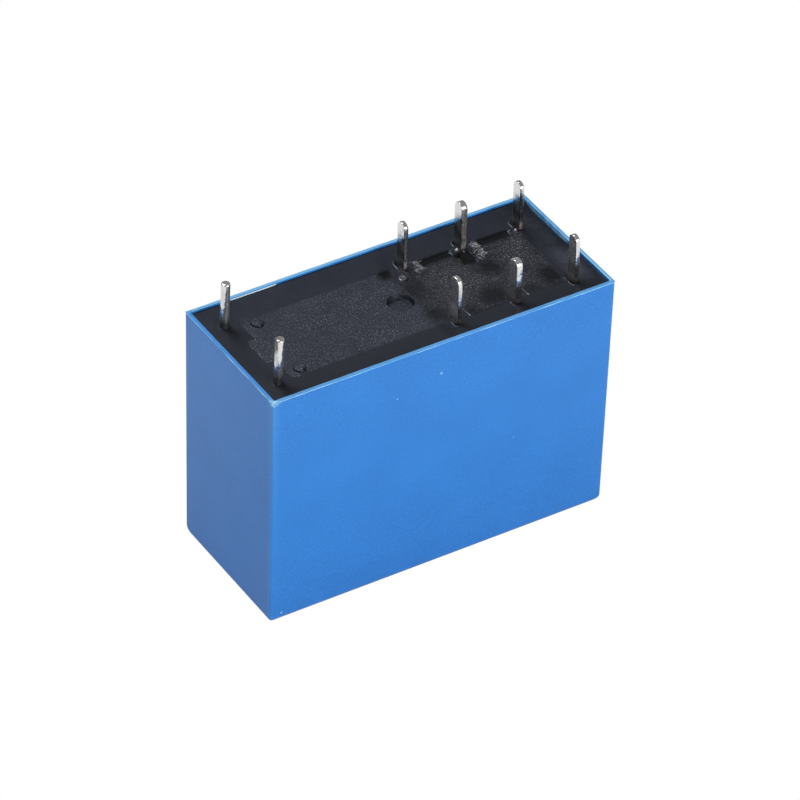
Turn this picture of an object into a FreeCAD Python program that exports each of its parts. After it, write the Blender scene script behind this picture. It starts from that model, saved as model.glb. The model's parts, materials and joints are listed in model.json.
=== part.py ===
import FreeCAD, Part

import math
import os
import re

import Sketcher

# A sealed two-pole power relay for a printed circuit board, lying on the closed face of
# its cover with the terminals up. X runs from the coil terminals to the contact
# terminals, Y runs across the cover, and Z starts at the cover's closed face.

SIZES = {
    # moulded cover
    "cover_width": 12.4,
    "cover_height": 20.65,
    "cover_draft": 0.1,
    "cover_rim_wall": 0.3,
    "cover_wall_gain": 0.2,
    "cover_closed_wall": 0.7,
    "cover_corner_radius": 0.12,
    "cover_edge_radius": 0.6,
    # terminal grid, on the board, and its place in the cover
    "coil_pin_inset": 1.85,
    "no_pin_inset": 2.15,
    "coil_to_contact": 15.0,
    "contact_pitch": 5.0,
    "pin_row_spacing": 7.5,
    "pin_stand": 3.5,
    "pin_clearance": 0.05,
    # moulded base
    "base_gap": 0.15,
    "base_corner_radius": 0.4,
    "panel_drop": 0.5,
    "channel_depth": 1.1,
    "plate_thickness": 1.65,
    "panel_coil_setback": 1.15,
    "panel_no_setback": 0.22,
    "panel_side_overlap": 0.13,
    "panel_split_setback": 1.19,
    "panel_tab_length": 0.73,
    "panel_tab_width": 3.0,
    "panel_corner_radius": 0.4,
    "contact_panel_drop": 0.1,
    "button_diameter": 0.87,
    "button_height": 0.12,
    "button_inset": 1.15,
    "button_spacing": 6.05,
    "moon_diameter": 2.0,
    "moon_depth": 0.4,
    "moon_setback": 1.21,
    "square_length": 0.8,
    "square_width": 1.0,
    "square_depth": 0.35,
    "square_setback": 0.46,
    "square_inset": 0.45,
    "slot_length": 2.7,
    "slot_width": 1.03,
    "slot_depth": 0.35,
    "slot_setback": 1.25,
    "slot_inset": 0.47,
    "hollow_length": 1.22,
    "hollow_width": 1.38,
    "hollow_depth": 0.7,
    "hollow_setback": 0.38,
    "hollow_inset": 1.64,
    "pin_well_length": 1.3,
    "pin_well_width": 1.9,
    "pin_well_depth": 0.3,
    "barrier_thickness": 0.9,
    "barrier_start": 0.9,
    "barrier_end_gap": 0.5,
    "barrier_floor_gap": 0.5,
    # sealing resin
    "resin_drop": 0.4,
    "resin_skirt": 0.6,
    # magnet: yoke, core and armature
    "yoke_setback": 2.2,
    "yoke_thickness": 1.2,
    "yoke_margin": 0.8,
    "yoke_overhang": 3.9,
    "yoke_bend_radius": 1.0,
    "pole_level": 4.0,
    "pole_diameter": 6.4,
    "pole_thickness": 0.8,
    "core_diameter": 4.0,
    "core_clearance": 0.05,
    "tenon_diameter": 2.6,
    "tenon_clearance": 0.02,
    "armature_thickness": 1.1,
    "armature_margin": 0.4,
    "armature_overhang": 3.65,
    "armature_nose_taper": 1.2,
    "armature_nose_length": 1.6,
    "armature_leg_length": 6.2,
    "armature_angle": 4.0,
    "armature_clearance": 0.05,
    "armature_bend_radius": 0.9,
    "window_width": 2.6,
    "window_setback": 1.1,
    "window_top": 4.4,
    "hinge_spring_width": 2.0,
    "hinge_spring_thickness": 0.15,
    "hinge_spring_weld": 4.0,
    "hinge_spring_reach": 1.6,
    "hinge_spring_drop": 0.45,
    "hinge_spring_gap": 0.03,
    # coil
    "coil_gap": 0.1,
    "coil_pin_setback": 0.6,
    "coil_side_gap": 0.25,
    "flange_thickness": 0.8,
    "flange_corner_radius": 0.8,
    "barrel_wall": 0.65,
    "winding_margin": 0.5,
    "tape_thickness": 0.1,
    "tape_margin": 0.3,
    "ear_margin": 0.15,
    "ear_pillar": 1.7,
    "coil_pin_diameter": 0.7,
    "coil_pin_chamfer": 0.12,
    "coil_post_side": 0.56,
    "coil_post_stub": 1.5,
    "wire_diameter": 0.12,
    "wire_gap": 0.02,
    "wire_turns": 2.0,
    "wire_drop": 0.5,
    # contact set
    "blade_width": 1.0,
    "blade_thickness": 0.43,
    "common_thickness": 0.5,
    "strip_width": 2.6,
    "strip_margin": 0.3,
    "strip_bend_radius": 0.35,
    "shoulder_gap": 0.05,
    "contact_level": 5.5,
    "contact_diameter": 2.2,
    "contact_head": 0.45,
    "contact_dome": 0.15,
    "contact_shank": 1.0,
    "contact_clinch": 0.2,
    "contact_clinch_diameter": 1.5,
    "contact_rest_gap": 0.02,
    "contact_made_gap": 0.03,
    "rivet_clearance": 0.02,
    "spring_thickness": 0.15,
    "spring_gap": 0.02,
    "spring_root_drop": 3.2,
    "spring_weld_length": 2.0,
    "spring_tip": 1.3,
    "spring_tab_height": 2.6,
    "spring_tab_slope": 1.0,
    "spring_tab_inset": 0.95,
    # pusher card
    "card_lever": 5.6,
    "card_gap": 0.08,
    "card_margin": 0.6,
    "card_back": 0.9,
    "card_back_height": 1.1,
    "card_lip_reach": 0.8,
    "card_lip_thickness": 0.4,
    "card_arm_inset": 0.8,
    "card_arm_width": 1.2,
    "card_arm_height": 0.7,
    "card_nose_side": 0.6,
    "card_nose_length": 0.7,
    "card_nose_clearance": 0.14,
}

# Levels and positions that follow from the sizes, in an order in which each line reads
# only the lines above it.
PLACES = {
    "cover_length": "coil_pin_inset + coil_to_contact + 2 * contact_pitch + no_pin_inset",
    "panel_level": "cover_height - panel_drop",
    "channel_level": "panel_level - channel_depth",
    "under_level": "channel_level - plate_thickness",
    "resin_level": "cover_height - resin_drop",
    "tip_level": "cover_height + pin_stand",
    "coil_pin_place": "-cover_length / 2 + coil_pin_inset",
    "nc_place": "coil_pin_place + coil_to_contact",
    "common_place": "nc_place + contact_pitch",
    "no_place": "common_place + contact_pitch",
    "pin_side": "pin_row_spacing / 2",
    "panel_left": "coil_pin_place + panel_coil_setback",
    "panel_right": "no_place - panel_no_setback",
    "panel_split": "nc_place - panel_split_setback",
    "panel_width": "pin_row_spacing + 2 * panel_side_overlap",
    "square_side": "pin_side - square_inset",
    "slot_side": "pin_side - slot_inset",
    "hollow_side": "pin_side - hollow_inset",
    "yoke_face": "nc_place - yoke_setback",
    "yoke_underside": "under_level - yoke_thickness",
    "flange_left": "coil_pin_place + coil_pin_setback",
    "flange_right": "yoke_face - yoke_thickness - coil_gap",
    "flange_length": "flange_right - flange_left",
    "coil_place": "(flange_left + flange_right) / 2",
    "cover_inside": "cover_width - 2 * (cover_rim_wall + cover_wall_gain + cover_draft)",
    "flange_width": "cover_inside - 2 * coil_side_gap",
    "yoke_width": "flange_width - 2 * yoke_margin",
    "armature_width": "yoke_width - 2 * armature_margin",
    "armature_nose_width": "armature_width - 2 * armature_nose_taper",
    "card_width": "armature_width - 2 * card_margin",
    "barrel_diameter": "core_diameter + 2 * (core_clearance + barrel_wall)",
    "winding_diameter": "min(flange_width; flange_length) - 2 * winding_margin",
    "ear_width": "pin_row_spacing + ear_pillar + 2 * ear_margin",
    "ear_left": "coil_pin_place - ear_pillar / 2 - ear_margin",
    "low_flange_level": "pole_level + pole_thickness",
    "winding_floor": "low_flange_level + flange_thickness",
    "winding_ceiling": "yoke_underside - flange_thickness",
    "leg_face": "yoke_face + armature_clearance + armature_thickness",
    "leg_tip": "pole_level + armature_leg_length",
    "card_level": "pole_level + card_lever",
    "card_face": "leg_face + card_gap",
    "spring_root": "under_level - spring_root_drop",
    "spring_right": "common_place - common_thickness / 2 - spring_gap",
    "spring_left": "spring_right - spring_thickness",
    "card_travel": "card_lever * armature_angle * pi / 180",
    "contact_travel": "card_travel * (spring_root - contact_level) / (spring_root - card_level)",
    "contact_height": "contact_head + contact_dome",
    "nc_strip_face": "spring_left - 2 * contact_height - contact_rest_gap",
    "no_strip_face": "spring_right + 2 * contact_height + contact_travel + contact_made_gap",
    "strip_end": "contact_level - contact_diameter / 2 - strip_margin",
    "barrier_left": "card_face + card_back + barrier_start",
    "panel_round": "min(panel_corner_radius; panel_tab_length * 0.45)",
    "blade_tip_radius": "blade_width * 0.49",
    "spring_tip_radius": "strip_width * 0.45",
    "contact_crown": "contact_head + contact_dome * 0.75",
}

document = FreeCAD.newDocument("pcb_power_relay")
sizes = document.addObject("Spreadsheet::Sheet", "sizes")
places = document.addObject("Spreadsheet::Sheet", "places")


def bound(text):
    """Writes a formula's words as cells of the sheet that holds them."""
    def cell(match):
        word = match.group(0)
        if word in SIZES:
            return f"sizes.{word}"
        return f"places.{word}" if word in PLACES else word
    return re.sub(r"[a-z]\w*", cell, text)


def fill_sheets():
    for row, (name, value) in enumerate(SIZES.items(), 1):
        sizes.set(f"A{row}", name)
        sizes.set(f"B{row}", str(value))
        sizes.setAlias(f"B{row}", name)
    for row, (name, formula) in enumerate(PLACES.items(), 1):
        places.set(f"A{row}", name)
        places.set(f"B{row}", "=" + bound(formula))
        places.setAlias(f"B{row}", name)
    document.recompute()


def value(text):
    """The number that a formula of cells gives now."""
    return float(sizes.evalExpression(bound(text)))


def new_body(label, **at):
    """A body with its own label, placed by formulas given as x=, y= and z=."""
    owner = document.addObject("PartDesign::Body", label)
    owner.Label = label
    for axis, formula in at.items():
        owner.setExpression(f"Placement.Base.{axis}", bound(formula))
    return owner


def new_sketch(owner, role, offset="0"):
    """A sketch on one of the body's own origin planes, moved along the plane's normal."""
    sketch = owner.newObject("Sketcher::SketchObject", f"{owner.Label}_sketch")
    plane = [item for item in owner.Origin.OriginFeatures if item.Role == role][0]
    sketch.AttachmentSupport = [(plane, "")]
    sketch.MapMode = "FlatFace"
    sketch.setExpression("AttachmentOffset.Base.z", bound(offset))
    return sketch


def pin_down(sketch, kind, item, vertex, formula):
    number = sketch.addConstraint(Sketcher.Constraint(kind, -1, 1, item, vertex, value(formula)))
    sketch.setExpression(f"Constraints[{number}]", bound(formula))


def draw_polygon(sketch, corners):
    """A closed outline through corners that are each two formulas."""
    spots = [FreeCAD.Vector(value(across), value(up), 0) for across, up in corners]
    first = sketch.GeometryCount
    count = len(spots)
    for index in range(count):
        sketch.addGeometry(Part.LineSegment(spots[index], spots[(index + 1) % count]), False)
    for index in range(count):
        after = first + (index + 1) % count
        sketch.addConstraint(Sketcher.Constraint("Coincident", first + index, 2, after, 1))
    for index, (across, up) in enumerate(corners):
        pin_down(sketch, "DistanceX", first + index, 1, across)
        pin_down(sketch, "DistanceY", first + index, 1, up)


def draw_box(sketch, across, up, length, height):
    """A rectangle about a centre, all four given as formulas."""
    left, right = f"{across} - ({length}) / 2", f"{across} + ({length}) / 2"
    low, high = f"{up} - ({height}) / 2", f"{up} + ({height}) / 2"
    draw_polygon(sketch, [(left, low), (right, low), (right, high), (left, high)])


def draw_circle(sketch, across, up, diameter):
    centre = FreeCAD.Vector(value(across), value(up), 0)
    item = sketch.addGeometry(
        Part.Circle(centre, FreeCAD.Vector(0, 0, 1), value(diameter) / 2), False)
    pin_down(sketch, "DistanceX", item, 3, across)
    pin_down(sketch, "DistanceY", item, 3, up)
    number = sketch.addConstraint(Sketcher.Constraint("Diameter", item, value(diameter)))
    sketch.setExpression(f"Constraints[{number}]", bound(diameter))


def draw_arc(sketch, centre, radius, start, before, after):
    """A round stretch between two lines of a sketch, its turn given in quarter circles."""
    middle = FreeCAD.Vector(value(centre[0]), value(centre[1]), 0)
    circle = Part.Circle(middle, FreeCAD.Vector(0, 0, 1), value(radius))
    quarter = math.pi / 2
    item = sketch.addGeometry(
        Part.ArcOfCircle(circle, start * quarter, (start + 1) * quarter), False)
    sketch.addConstraint(Sketcher.Constraint("Coincident", item, 1, *before))
    sketch.addConstraint(Sketcher.Constraint("Coincident", item, 2, *after))
    number = sketch.addConstraint(Sketcher.Constraint("Radius", item, value(radius)))
    sketch.setExpression(f"Constraints[{number}]", bound(radius))


def draw_line(sketch, start, end):
    ends = [FreeCAD.Vector(value(across), value(up), 0) for across, up in (start, end)]
    item = sketch.addGeometry(Part.LineSegment(*ends), False)
    for vertex, (across, up) in enumerate((start, end), 1):
        pin_down(sketch, "DistanceX", item, vertex, across)
        pin_down(sketch, "DistanceY", item, vertex, up)
    return item


def draw_wall_cut(sketch, extent, sign):
    """What draft and a round closed edge take off one side of the cover's block."""
    radius = "cover_edge_radius"
    foot = f"({extent} / 2 - cover_draft * (1 - {radius} / cover_height))"
    beyond = f"({extent} / 2 + {radius})"
    spots = [(f"{sign}{foot}", radius), (f"{sign}{extent} / 2", "cover_height"),
             (f"{sign}{beyond}", "cover_height"), (f"{sign}{beyond}", f"-{radius}"),
             (f"{sign}({foot} - {radius})", f"-{radius}"),
             (f"{sign}({foot} - {radius})", "0")]
    lines = [draw_line(sketch, start, end) for start, end in zip(spots, spots[1:])]
    ends = [(lines[-1], 2), (lines[0], 1)]
    if sign:
        ends.reverse()
    draw_arc(sketch, (f"{sign}({foot} - {radius})", radius), radius, 2 if sign else 3, *ends)


def extrude(kind, sketch, length, side="One side", back=False, taper=None):
    owner = sketch.getParentGeoFeatureGroup()
    feature = owner.newObject(f"PartDesign::{kind}", f"{owner.Label}_{kind.lower()}")
    feature.Profile = sketch
    feature.SideType = side
    feature.Reversed = back
    feature.setExpression("Length", bound(length))
    if taper:
        feature.setExpression("TaperAngle", bound(taper))
    document.recompute()
    return feature


def pad(sketch, length, **how):
    return extrude("Pad", sketch, length, **how)


def pocket(sketch, length, **how):
    """A cut that has to take material away."""
    owner = sketch.getParentGeoFeatureGroup()
    before = owner.Shape.Volume
    feature = extrude("Pocket", sketch, length, **how)
    if not feature.Shape.Volume < before:
        raise RuntimeError(f"{owner.Label}: a pocket cut nothing")
    return feature


def revolve(sketch, axis):
    owner = sketch.getParentGeoFeatureGroup()
    feature = owner.newObject("PartDesign::Revolution", f"{owner.Label}_revolution")
    feature.Profile = sketch
    feature.ReferenceAxis = (sketch, [axis])
    feature.Angle = 360
    document.recompute()
    return feature


def soften(kind, feature, chosen, size):
    """A fillet or chamfer on the edges of a feature that the test chooses."""
    owner = feature.getParentGeoFeatureGroup()
    names = [f"Edge{number}" for number, edge in enumerate(feature.Shape.Edges, 1)
             if chosen(edge)]
    if not names:
        raise RuntimeError(f"{owner.Label}: no edge to round")
    result = owner.newObject(f"PartDesign::{kind}", f"{owner.Label}_{kind.lower()}")
    result.Base = (feature, names)
    result.setExpression("Radius" if kind == "Fillet" else "Size", bound(size))
    document.recompute()
    return result


def near(first, second):
    """Whether two lengths in mm are the same to within the modeller's own accuracy."""
    return abs(first - second) < 0.001


def level(edge, formula):
    """Whether an edge lies flat at a height."""
    box = edge.BoundBox
    height = value(formula)
    return near(box.ZMin, height) and near(box.ZMax, height)


def upright(edge, low, high):
    """Whether a straight edge rises from one height to another."""
    box = edge.BoundBox
    return len(edge.Vertexes) == 2 and near(box.ZMin, value(low)) and near(box.ZMax, value(high))


def runs_across(edge, formula):
    """Whether an edge runs straight along Y at a place along X."""
    box = edge.BoundBox
    return near(box.XMin, value(formula)) and near(box.XMax, box.XMin)


def build_cover():
    """The moulded cover: a thin box, open at the terminals, with draft on every wall."""
    cover = new_body("cover")
    outline = new_sketch(cover, "XY_Plane")
    draw_box(outline, "0", "0", "cover_length", "cover_width")
    pad(outline, "cover_height")
    for role, extent in (("XZ_Plane", "cover_length"), ("YZ_Plane", "cover_width")):
        walls = new_sketch(cover, role)
        for sign in ("", "-"):
            draw_wall_cut(walls, extent, sign)
        shaped = pocket(walls, "2 * cover_length", side="Symmetric")
    soften("Fillet", shaped,
           lambda edge: near(edge.BoundBox.ZMax, value("cover_height"))
           and edge.BoundBox.ZMin < value("2 * cover_edge_radius"),
           "cover_corner_radius")
    cavity = new_sketch(cover, "XY_Plane", "cover_height")
    draw_box(cavity, "0", "0", "cover_length - 2 * cover_rim_wall",
             "cover_width - 2 * cover_rim_wall")
    depth = "cover_height - cover_closed_wall"
    pocket(cavity, depth, taper=f"-atan((cover_draft + cover_wall_gain) / ({depth}))")
    return cover


def cut_panel_marks(base):
    """The recesses that the tool leaves in the face of the base."""
    face = "panel_level"
    moon = new_sketch(base, "XY_Plane", face)
    draw_circle(moon, "panel_split - moon_setback", "0", "moon_diameter")
    pocket(moon, "moon_depth")
    square = new_sketch(base, "XY_Plane", face)
    draw_box(square, "panel_split - square_setback", "square_side", "square_length",
             "square_width")
    pocket(square, "square_depth")
    slots = new_sketch(base, "XY_Plane", face)
    for start in ("nc_place", "common_place"):
        for side in ("-slot_side", "slot_side"):
            draw_box(slots, f"{start} + slot_setback + slot_length / 2", side, "slot_length",
                     "slot_width")
    pocket(slots, "slot_depth")
    hollow = new_sketch(base, "XY_Plane", face)
    draw_box(hollow, "common_place - hollow_setback", "hollow_side", "hollow_length",
             "hollow_width")
    pocket(hollow, "hollow_depth")


def cut_pin_ways(base):
    """The ways through the base for the coil pins and the contact blades."""
    wells = new_sketch(base, "XY_Plane", "panel_level")
    for place in ("nc_place", "common_place", "no_place"):
        for side in ("-pin_side", "pin_side"):
            draw_box(wells, place, side, "pin_well_length", "pin_well_width")
    pocket(wells, "pin_well_depth")
    ways = new_sketch(base, "XY_Plane", "panel_level")
    for side in ("-pin_side", "pin_side"):
        post = "coil_post_side + 2 * pin_clearance"
        draw_box(ways, "coil_pin_place", side, post, post)
        for place, thickness in (("nc_place", "blade_thickness"),
                                 ("common_place", "common_thickness"),
                                 ("no_place", "blade_thickness")):
            draw_box(ways, place, side, f"{thickness} + 2 * pin_clearance",
                     "blade_width + 2 * pin_clearance")
    pocket(ways, "panel_level - under_level")


def raise_panel(owner, floor, ceiling):
    """The outline of the base's raised panel, with its tab, from one height to another."""
    panel = new_sketch(owner, "XY_Plane", floor)
    side, tab = "panel_width / 2", "panel_tab_width / 2"
    draw_polygon(panel, [
        ("panel_left", f"-{side}"), ("panel_right", f"-{side}"),
        ("panel_right", side), ("panel_left", side),
        ("panel_left", tab), ("panel_left - panel_tab_length", tab),
        ("panel_left - panel_tab_length", f"-{tab}"), ("panel_left", f"-{tab}")])
    raised = pad(panel, f"{ceiling} - ({floor})")
    soften("Fillet", raised, lambda edge: upright(edge, floor, ceiling),
           "panel_round")


def build_base():
    """The moulded base: a plate with a raised panel, and a barrier between the poles."""
    base = new_body("base")
    plate = new_sketch(base, "XY_Plane", "under_level")
    inset = "2 * (cover_rim_wall + base_gap)"
    draw_box(plate, "0", "0", f"cover_length - {inset}", f"cover_width - {inset}")
    slab = pad(plate, "plate_thickness")
    soften("Fillet", slab, lambda edge: upright(edge, "under_level", "channel_level"),
           "base_corner_radius")
    raise_panel(base, "channel_level", "panel_level")
    side = "panel_width / 2"
    step = new_sketch(base, "XY_Plane", "panel_level")
    draw_polygon(step, [
        ("panel_split", f"-{side} - panel_corner_radius"),
        ("panel_right + panel_corner_radius", f"-{side} - panel_corner_radius"),
        ("panel_right + panel_corner_radius", f"{side} + panel_corner_radius"),
        ("panel_split", f"{side} + panel_corner_radius")])
    pocket(step, "contact_panel_drop")
    buttons = new_sketch(base, "XY_Plane", "panel_level")
    for sign in ("-", ""):
        draw_circle(buttons, "panel_left + button_inset", f"{sign}button_spacing / 2",
                    "button_diameter")
    pad(buttons, "button_height")
    barrier = new_sketch(base, "XZ_Plane")
    low = "cover_closed_wall + barrier_floor_gap"
    right = "cover_length / 2 - cover_rim_wall - cover_wall_gain - cover_draft - barrier_end_gap"
    draw_polygon(barrier, [("barrier_left", low), (right, low), (right, "under_level"),
                           ("barrier_left", "under_level")])
    pad(barrier, "barrier_thickness", side="Symmetric")
    cut_panel_marks(base)
    cut_pin_ways(base)
    return base


def build_yoke():
    """The steel yoke: one leg under the base, one leg down beside the coil."""
    yoke = new_body("yoke")
    profile = new_sketch(yoke, "XZ_Plane")
    draw_polygon(profile, [
        ("coil_place - yoke_overhang", "under_level"), ("yoke_face", "under_level"),
        ("yoke_face", "pole_level"), ("yoke_face - yoke_thickness", "pole_level"),
        ("yoke_face - yoke_thickness", "yoke_underside"),
        ("coil_place - yoke_overhang", "yoke_underside")])
    angle = pad(profile, "yoke_width", side="Symmetric")
    soften("Fillet", angle,
           lambda edge: level(edge, "under_level") and runs_across(edge, "yoke_face"),
           "yoke_bend_radius")
    hole = new_sketch(yoke, "XY_Plane", "under_level")
    draw_circle(hole, "coil_place", "0", "tenon_diameter + 2 * tenon_clearance")
    pocket(hole, "yoke_thickness")
    return yoke


def build_core():
    """The turned core: a pole face, a shank and a tenon clenched in the yoke."""
    core = new_body("core", x="coil_place")
    profile = new_sketch(core, "XZ_Plane")
    draw_polygon(profile, [
        ("0", "pole_level"), ("pole_diameter / 2", "pole_level"),
        ("pole_diameter / 2", "low_flange_level"), ("core_diameter / 2", "low_flange_level"),
        ("core_diameter / 2", "yoke_underside"), ("tenon_diameter / 2", "yoke_underside"),
        ("tenon_diameter / 2", "under_level"), ("0", "under_level")])
    revolve(profile, "V_Axis")
    return core


def build_bobbin():
    """The bobbin: a barrel between two flanges, and an ear that carries the coil pins."""
    bobbin = new_body("bobbin", x="coil_place")
    barrel = new_sketch(bobbin, "XY_Plane", "low_flange_level")
    draw_circle(barrel, "0", "0", "barrel_diameter")
    pad(barrel, "yoke_underside - low_flange_level")
    for floor in ("low_flange_level", "winding_ceiling"):
        flange = new_sketch(bobbin, "XY_Plane", floor)
        draw_box(flange, "0", "0", "flange_length", "flange_width")
        plate = pad(flange, "flange_thickness")
        high = f"{floor} + flange_thickness"
        soften("Fillet", plate,
               lambda edge, low=floor, top=high: upright(edge, low, top)
               and near(abs(edge.BoundBox.YMin), value("flange_width / 2")),
               "flange_corner_radius")
    ear = new_sketch(bobbin, "XY_Plane", "winding_ceiling")
    far = "ear_left - coil_place"
    half = "ear_width / 2"
    draw_polygon(ear, [(far, f"-{half}"), ("-flange_length / 2 + flange_thickness", f"-{half}"),
                       ("-flange_length / 2 + flange_thickness", half), (far, half)])
    pad(ear, "flange_thickness")
    pillars = new_sketch(bobbin, "XY_Plane", "yoke_underside")
    for side in ("-pin_side", "pin_side"):
        draw_box(pillars, "coil_pin_place - coil_place", side, "ear_pillar", "ear_pillar")
    pad(pillars, "under_level - yoke_underside")
    bore = new_sketch(bobbin, "XY_Plane", "yoke_underside")
    draw_circle(bore, "0", "0", "core_diameter + 2 * core_clearance")
    pocket(bore, "yoke_underside - low_flange_level")
    ways = new_sketch(bobbin, "XY_Plane", "under_level")
    for side in ("-pin_side", "pin_side"):
        draw_box(ways, "coil_pin_place - coil_place", side, "coil_post_side", "coil_post_side")
    pocket(ways, "under_level - winding_ceiling")
    return bobbin


def build_ring(label, inner, outer, floor, ceiling):
    """A plain ring about the coil's axis."""
    ring = new_body(label, x="coil_place")
    profile = new_sketch(ring, "XZ_Plane")
    draw_polygon(profile, [(inner, floor), (outer, floor), (outer, ceiling), (inner, ceiling)])
    revolve(profile, "V_Axis")
    return ring


def build_armature():
    """The bent armature: a plate under the pole face and a leg beside the yoke."""
    armature = new_body("armature")
    profile = new_sketch(armature, "XZ_Plane")
    run = "(yoke_face - coil_place + armature_overhang)"
    rise = f"{run} * tan(armature_angle)"
    top = "pole_level - armature_clearance"
    plate = "armature_thickness / cos(armature_angle)"
    knee = "armature_thickness * tan(armature_angle)"
    draw_polygon(profile, [
        ("yoke_face + armature_clearance", top),
        ("yoke_face + armature_clearance", "leg_tip"), ("leg_face", "leg_tip"),
        ("leg_face", f"{top} - {plate} + {knee}"),
        (f"yoke_face - {run}", f"{top} - {rise} - {plate}"),
        (f"yoke_face - {run}", f"{top} - {rise}")])
    angle = pad(profile, "armature_width", side="Symmetric")
    bent = soften("Fillet", angle,
                  lambda edge: runs_across(edge, "leg_face")
                  and near(edge.BoundBox.YLength, value("armature_width"))
                  and edge.BoundBox.ZMax < value("pole_level"),
                  "armature_bend_radius")
    window = new_sketch(armature, "YZ_Plane", "yoke_face - window_setback")
    draw_polygon(window, [("-window_width / 2", "cover_closed_wall"),
                          ("window_width / 2", "cover_closed_wall"),
                          ("window_width / 2", "pole_level + window_top"),
                          ("-window_width / 2", "pole_level + window_top")])
    pocket(window, "leg_face - yoke_face + window_setback + card_gap", back=True)
    flanks = new_sketch(armature, "XY_Plane", "pole_level")
    tip = f"yoke_face - {run}"
    for sign in ("-", ""):
        draw_polygon(flanks, [
            (tip, f"{sign}armature_nose_width / 2"),
            (f"{tip} + armature_nose_length", f"{sign}armature_width / 2"),
            (f"{tip} + armature_nose_length", f"{sign}armature_width"),
            (f"{tip} - armature_nose_length", f"{sign}armature_width"),
            (f"{tip} - armature_nose_length", f"{sign}armature_nose_width / 2")])
    pocket(flanks, "pole_level - cover_closed_wall")
    return armature


def build_hinge_spring():
    """The flat spring that keeps the armature's knee on the edge of the yoke."""
    spring = new_body("hinge_spring")
    profile = new_sketch(spring, "XZ_Plane")
    outer = "yoke_face + hinge_spring_thickness"
    tip = "(yoke_face - hinge_spring_reach)"
    under = ("pole_level - armature_clearance - hinge_spring_gap"
             " - armature_thickness / cos(armature_angle)"
             " - (armature_clearance + hinge_spring_reach) * tan(armature_angle)")
    draw_polygon(profile, [
        ("yoke_face", "pole_level + hinge_spring_weld"), (outer, "pole_level + hinge_spring_weld"),
        (outer, f"{under} - hinge_spring_drop - hinge_spring_thickness"),
        (tip, f"{under} - hinge_spring_thickness"), (tip, under),
        ("yoke_face", f"{under} - hinge_spring_drop")])
    pad(profile, "hinge_spring_width", side="Symmetric")
    return spring


def build_coil_terminal(number, side):
    """A coil terminal: a round pin to the board on a square post in the bobbin."""
    terminal = new_body(f"coil_terminal_{number}", x="coil_pin_place", y=f"{side} * pin_side")
    post = new_sketch(terminal, "XY_Plane", "winding_ceiling - coil_post_stub")
    draw_box(post, "0", "0", "coil_post_side", "coil_post_side")
    pad(post, "resin_level - winding_ceiling + coil_post_stub")
    pin = new_sketch(terminal, "XY_Plane", "resin_level")
    draw_circle(pin, "0", "0", "coil_pin_diameter")
    shaft = pad(pin, "tip_level - resin_level")
    soften("Chamfer", shaft, lambda edge: level(edge, "tip_level"), "coil_pin_chamfer")
    return terminal


def build_coil_lead(number, side):
    """The end of the winding's wire: turns drawn tight about the post, and a run to the coil."""
    label = f"coil_lead_{number}"
    middle = "winding_ceiling - wire_drop"
    height = "(wire_turns * wire_diameter)"
    inner = "(coil_post_side / 2 + wire_gap)"
    turns = []
    for name, half in (("inside", inner), ("outside", f"({inner} + wire_diameter)")):
        turn = document.addObject("Part::Box", f"{label}_{name}")
        for extent, formula in (("Length", f"2 * {half}"), ("Width", f"2 * {half}"),
                                ("Height", height)):
            turn.setExpression(extent, bound(formula))
        turn.setExpression("Placement.Base.x", bound(f"coil_pin_place - {half}"))
        turn.setExpression("Placement.Base.y", bound(f"{side} * pin_side - {half}"))
        turn.setExpression("Placement.Base.z", bound(f"{middle} - {height} / 2"))
        turns.append(turn)
    across, along = f"(-{side} * pin_side)", "(coil_place - coil_pin_place)"
    reach = f"sqrt({across}^2 + {along}^2)"
    start = f"({inner} + wire_diameter / 2) / {along}"
    run = document.addObject("Part::Cylinder", f"{label}_run")
    run.setExpression("Radius", bound("wire_diameter / 2"))
    run.setExpression("Height", bound(
        f"{reach} * (1 - {start}) - winding_diameter / 2 - tape_thickness - wire_gap"))
    run.setExpression("Placement", bound(
        f"placement(vector(coil_pin_place + {along} * {start};"
        f" {side} * pin_side + {across} * {start}; {middle});"
        f" rotation(vector(-{across}; {along}; 0); 90))"))
    wire = document.addObject("Part::MultiFuse", f"{label}_wire")
    wire.Shapes = [turns[1], run]
    lead = document.addObject("Part::Cut", label)
    lead.Base = wire
    lead.Tool = turns[0]
    lead.Label = label
    return lead


def draw_blade(terminal, thickness, foot):
    """The flat pin to the board, with a round tip, on the top of a stamped strip."""
    blade = new_sketch(terminal, "YZ_Plane")
    draw_box(blade, "0", f"({foot} + tip_level) / 2", "blade_width", f"tip_level - ({foot})")
    shaft = pad(blade, thickness, side="Symmetric")
    soften("Fillet", shaft,
           lambda edge: level(edge, "tip_level") and near(edge.BoundBox.YLength, 0),
           "blade_tip_radius")


def build_fixed_terminal(label, place, side, face, lean):
    """A fixed terminal: a blade, a joggle under the base and a strip with a contact."""
    terminal = new_body(label, x=place, y=f"{side} * pin_side")
    shoulder = "(under_level - shoulder_gap)"
    inward = f"{face} - {place}"
    outward = f"{face} - {place} - {lean} * blade_thickness"
    back = f"-{lean} * blade_thickness / 2"
    profile = new_sketch(terminal, "XZ_Plane")
    draw_polygon(profile, [
        (back, shoulder), (inward, shoulder), (inward, "strip_end"),
        (outward, "strip_end"), (outward, f"{shoulder} - blade_thickness"),
        (back, f"{shoulder} - blade_thickness")])
    strip = pad(profile, "strip_width", side="Symmetric")
    soften("Fillet", strip,
           lambda edge: level(edge, shoulder) and runs_across(edge, inward),
           "strip_bend_radius")
    hole = new_sketch(terminal, "YZ_Plane", inward if lean > 0 else outward)
    draw_circle(hole, "0", "contact_level", "contact_shank + 2 * rivet_clearance")
    pocket(hole, "blade_thickness")
    draw_blade(terminal, "blade_thickness", f"{shoulder} - blade_thickness / 2")
    return terminal


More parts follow.
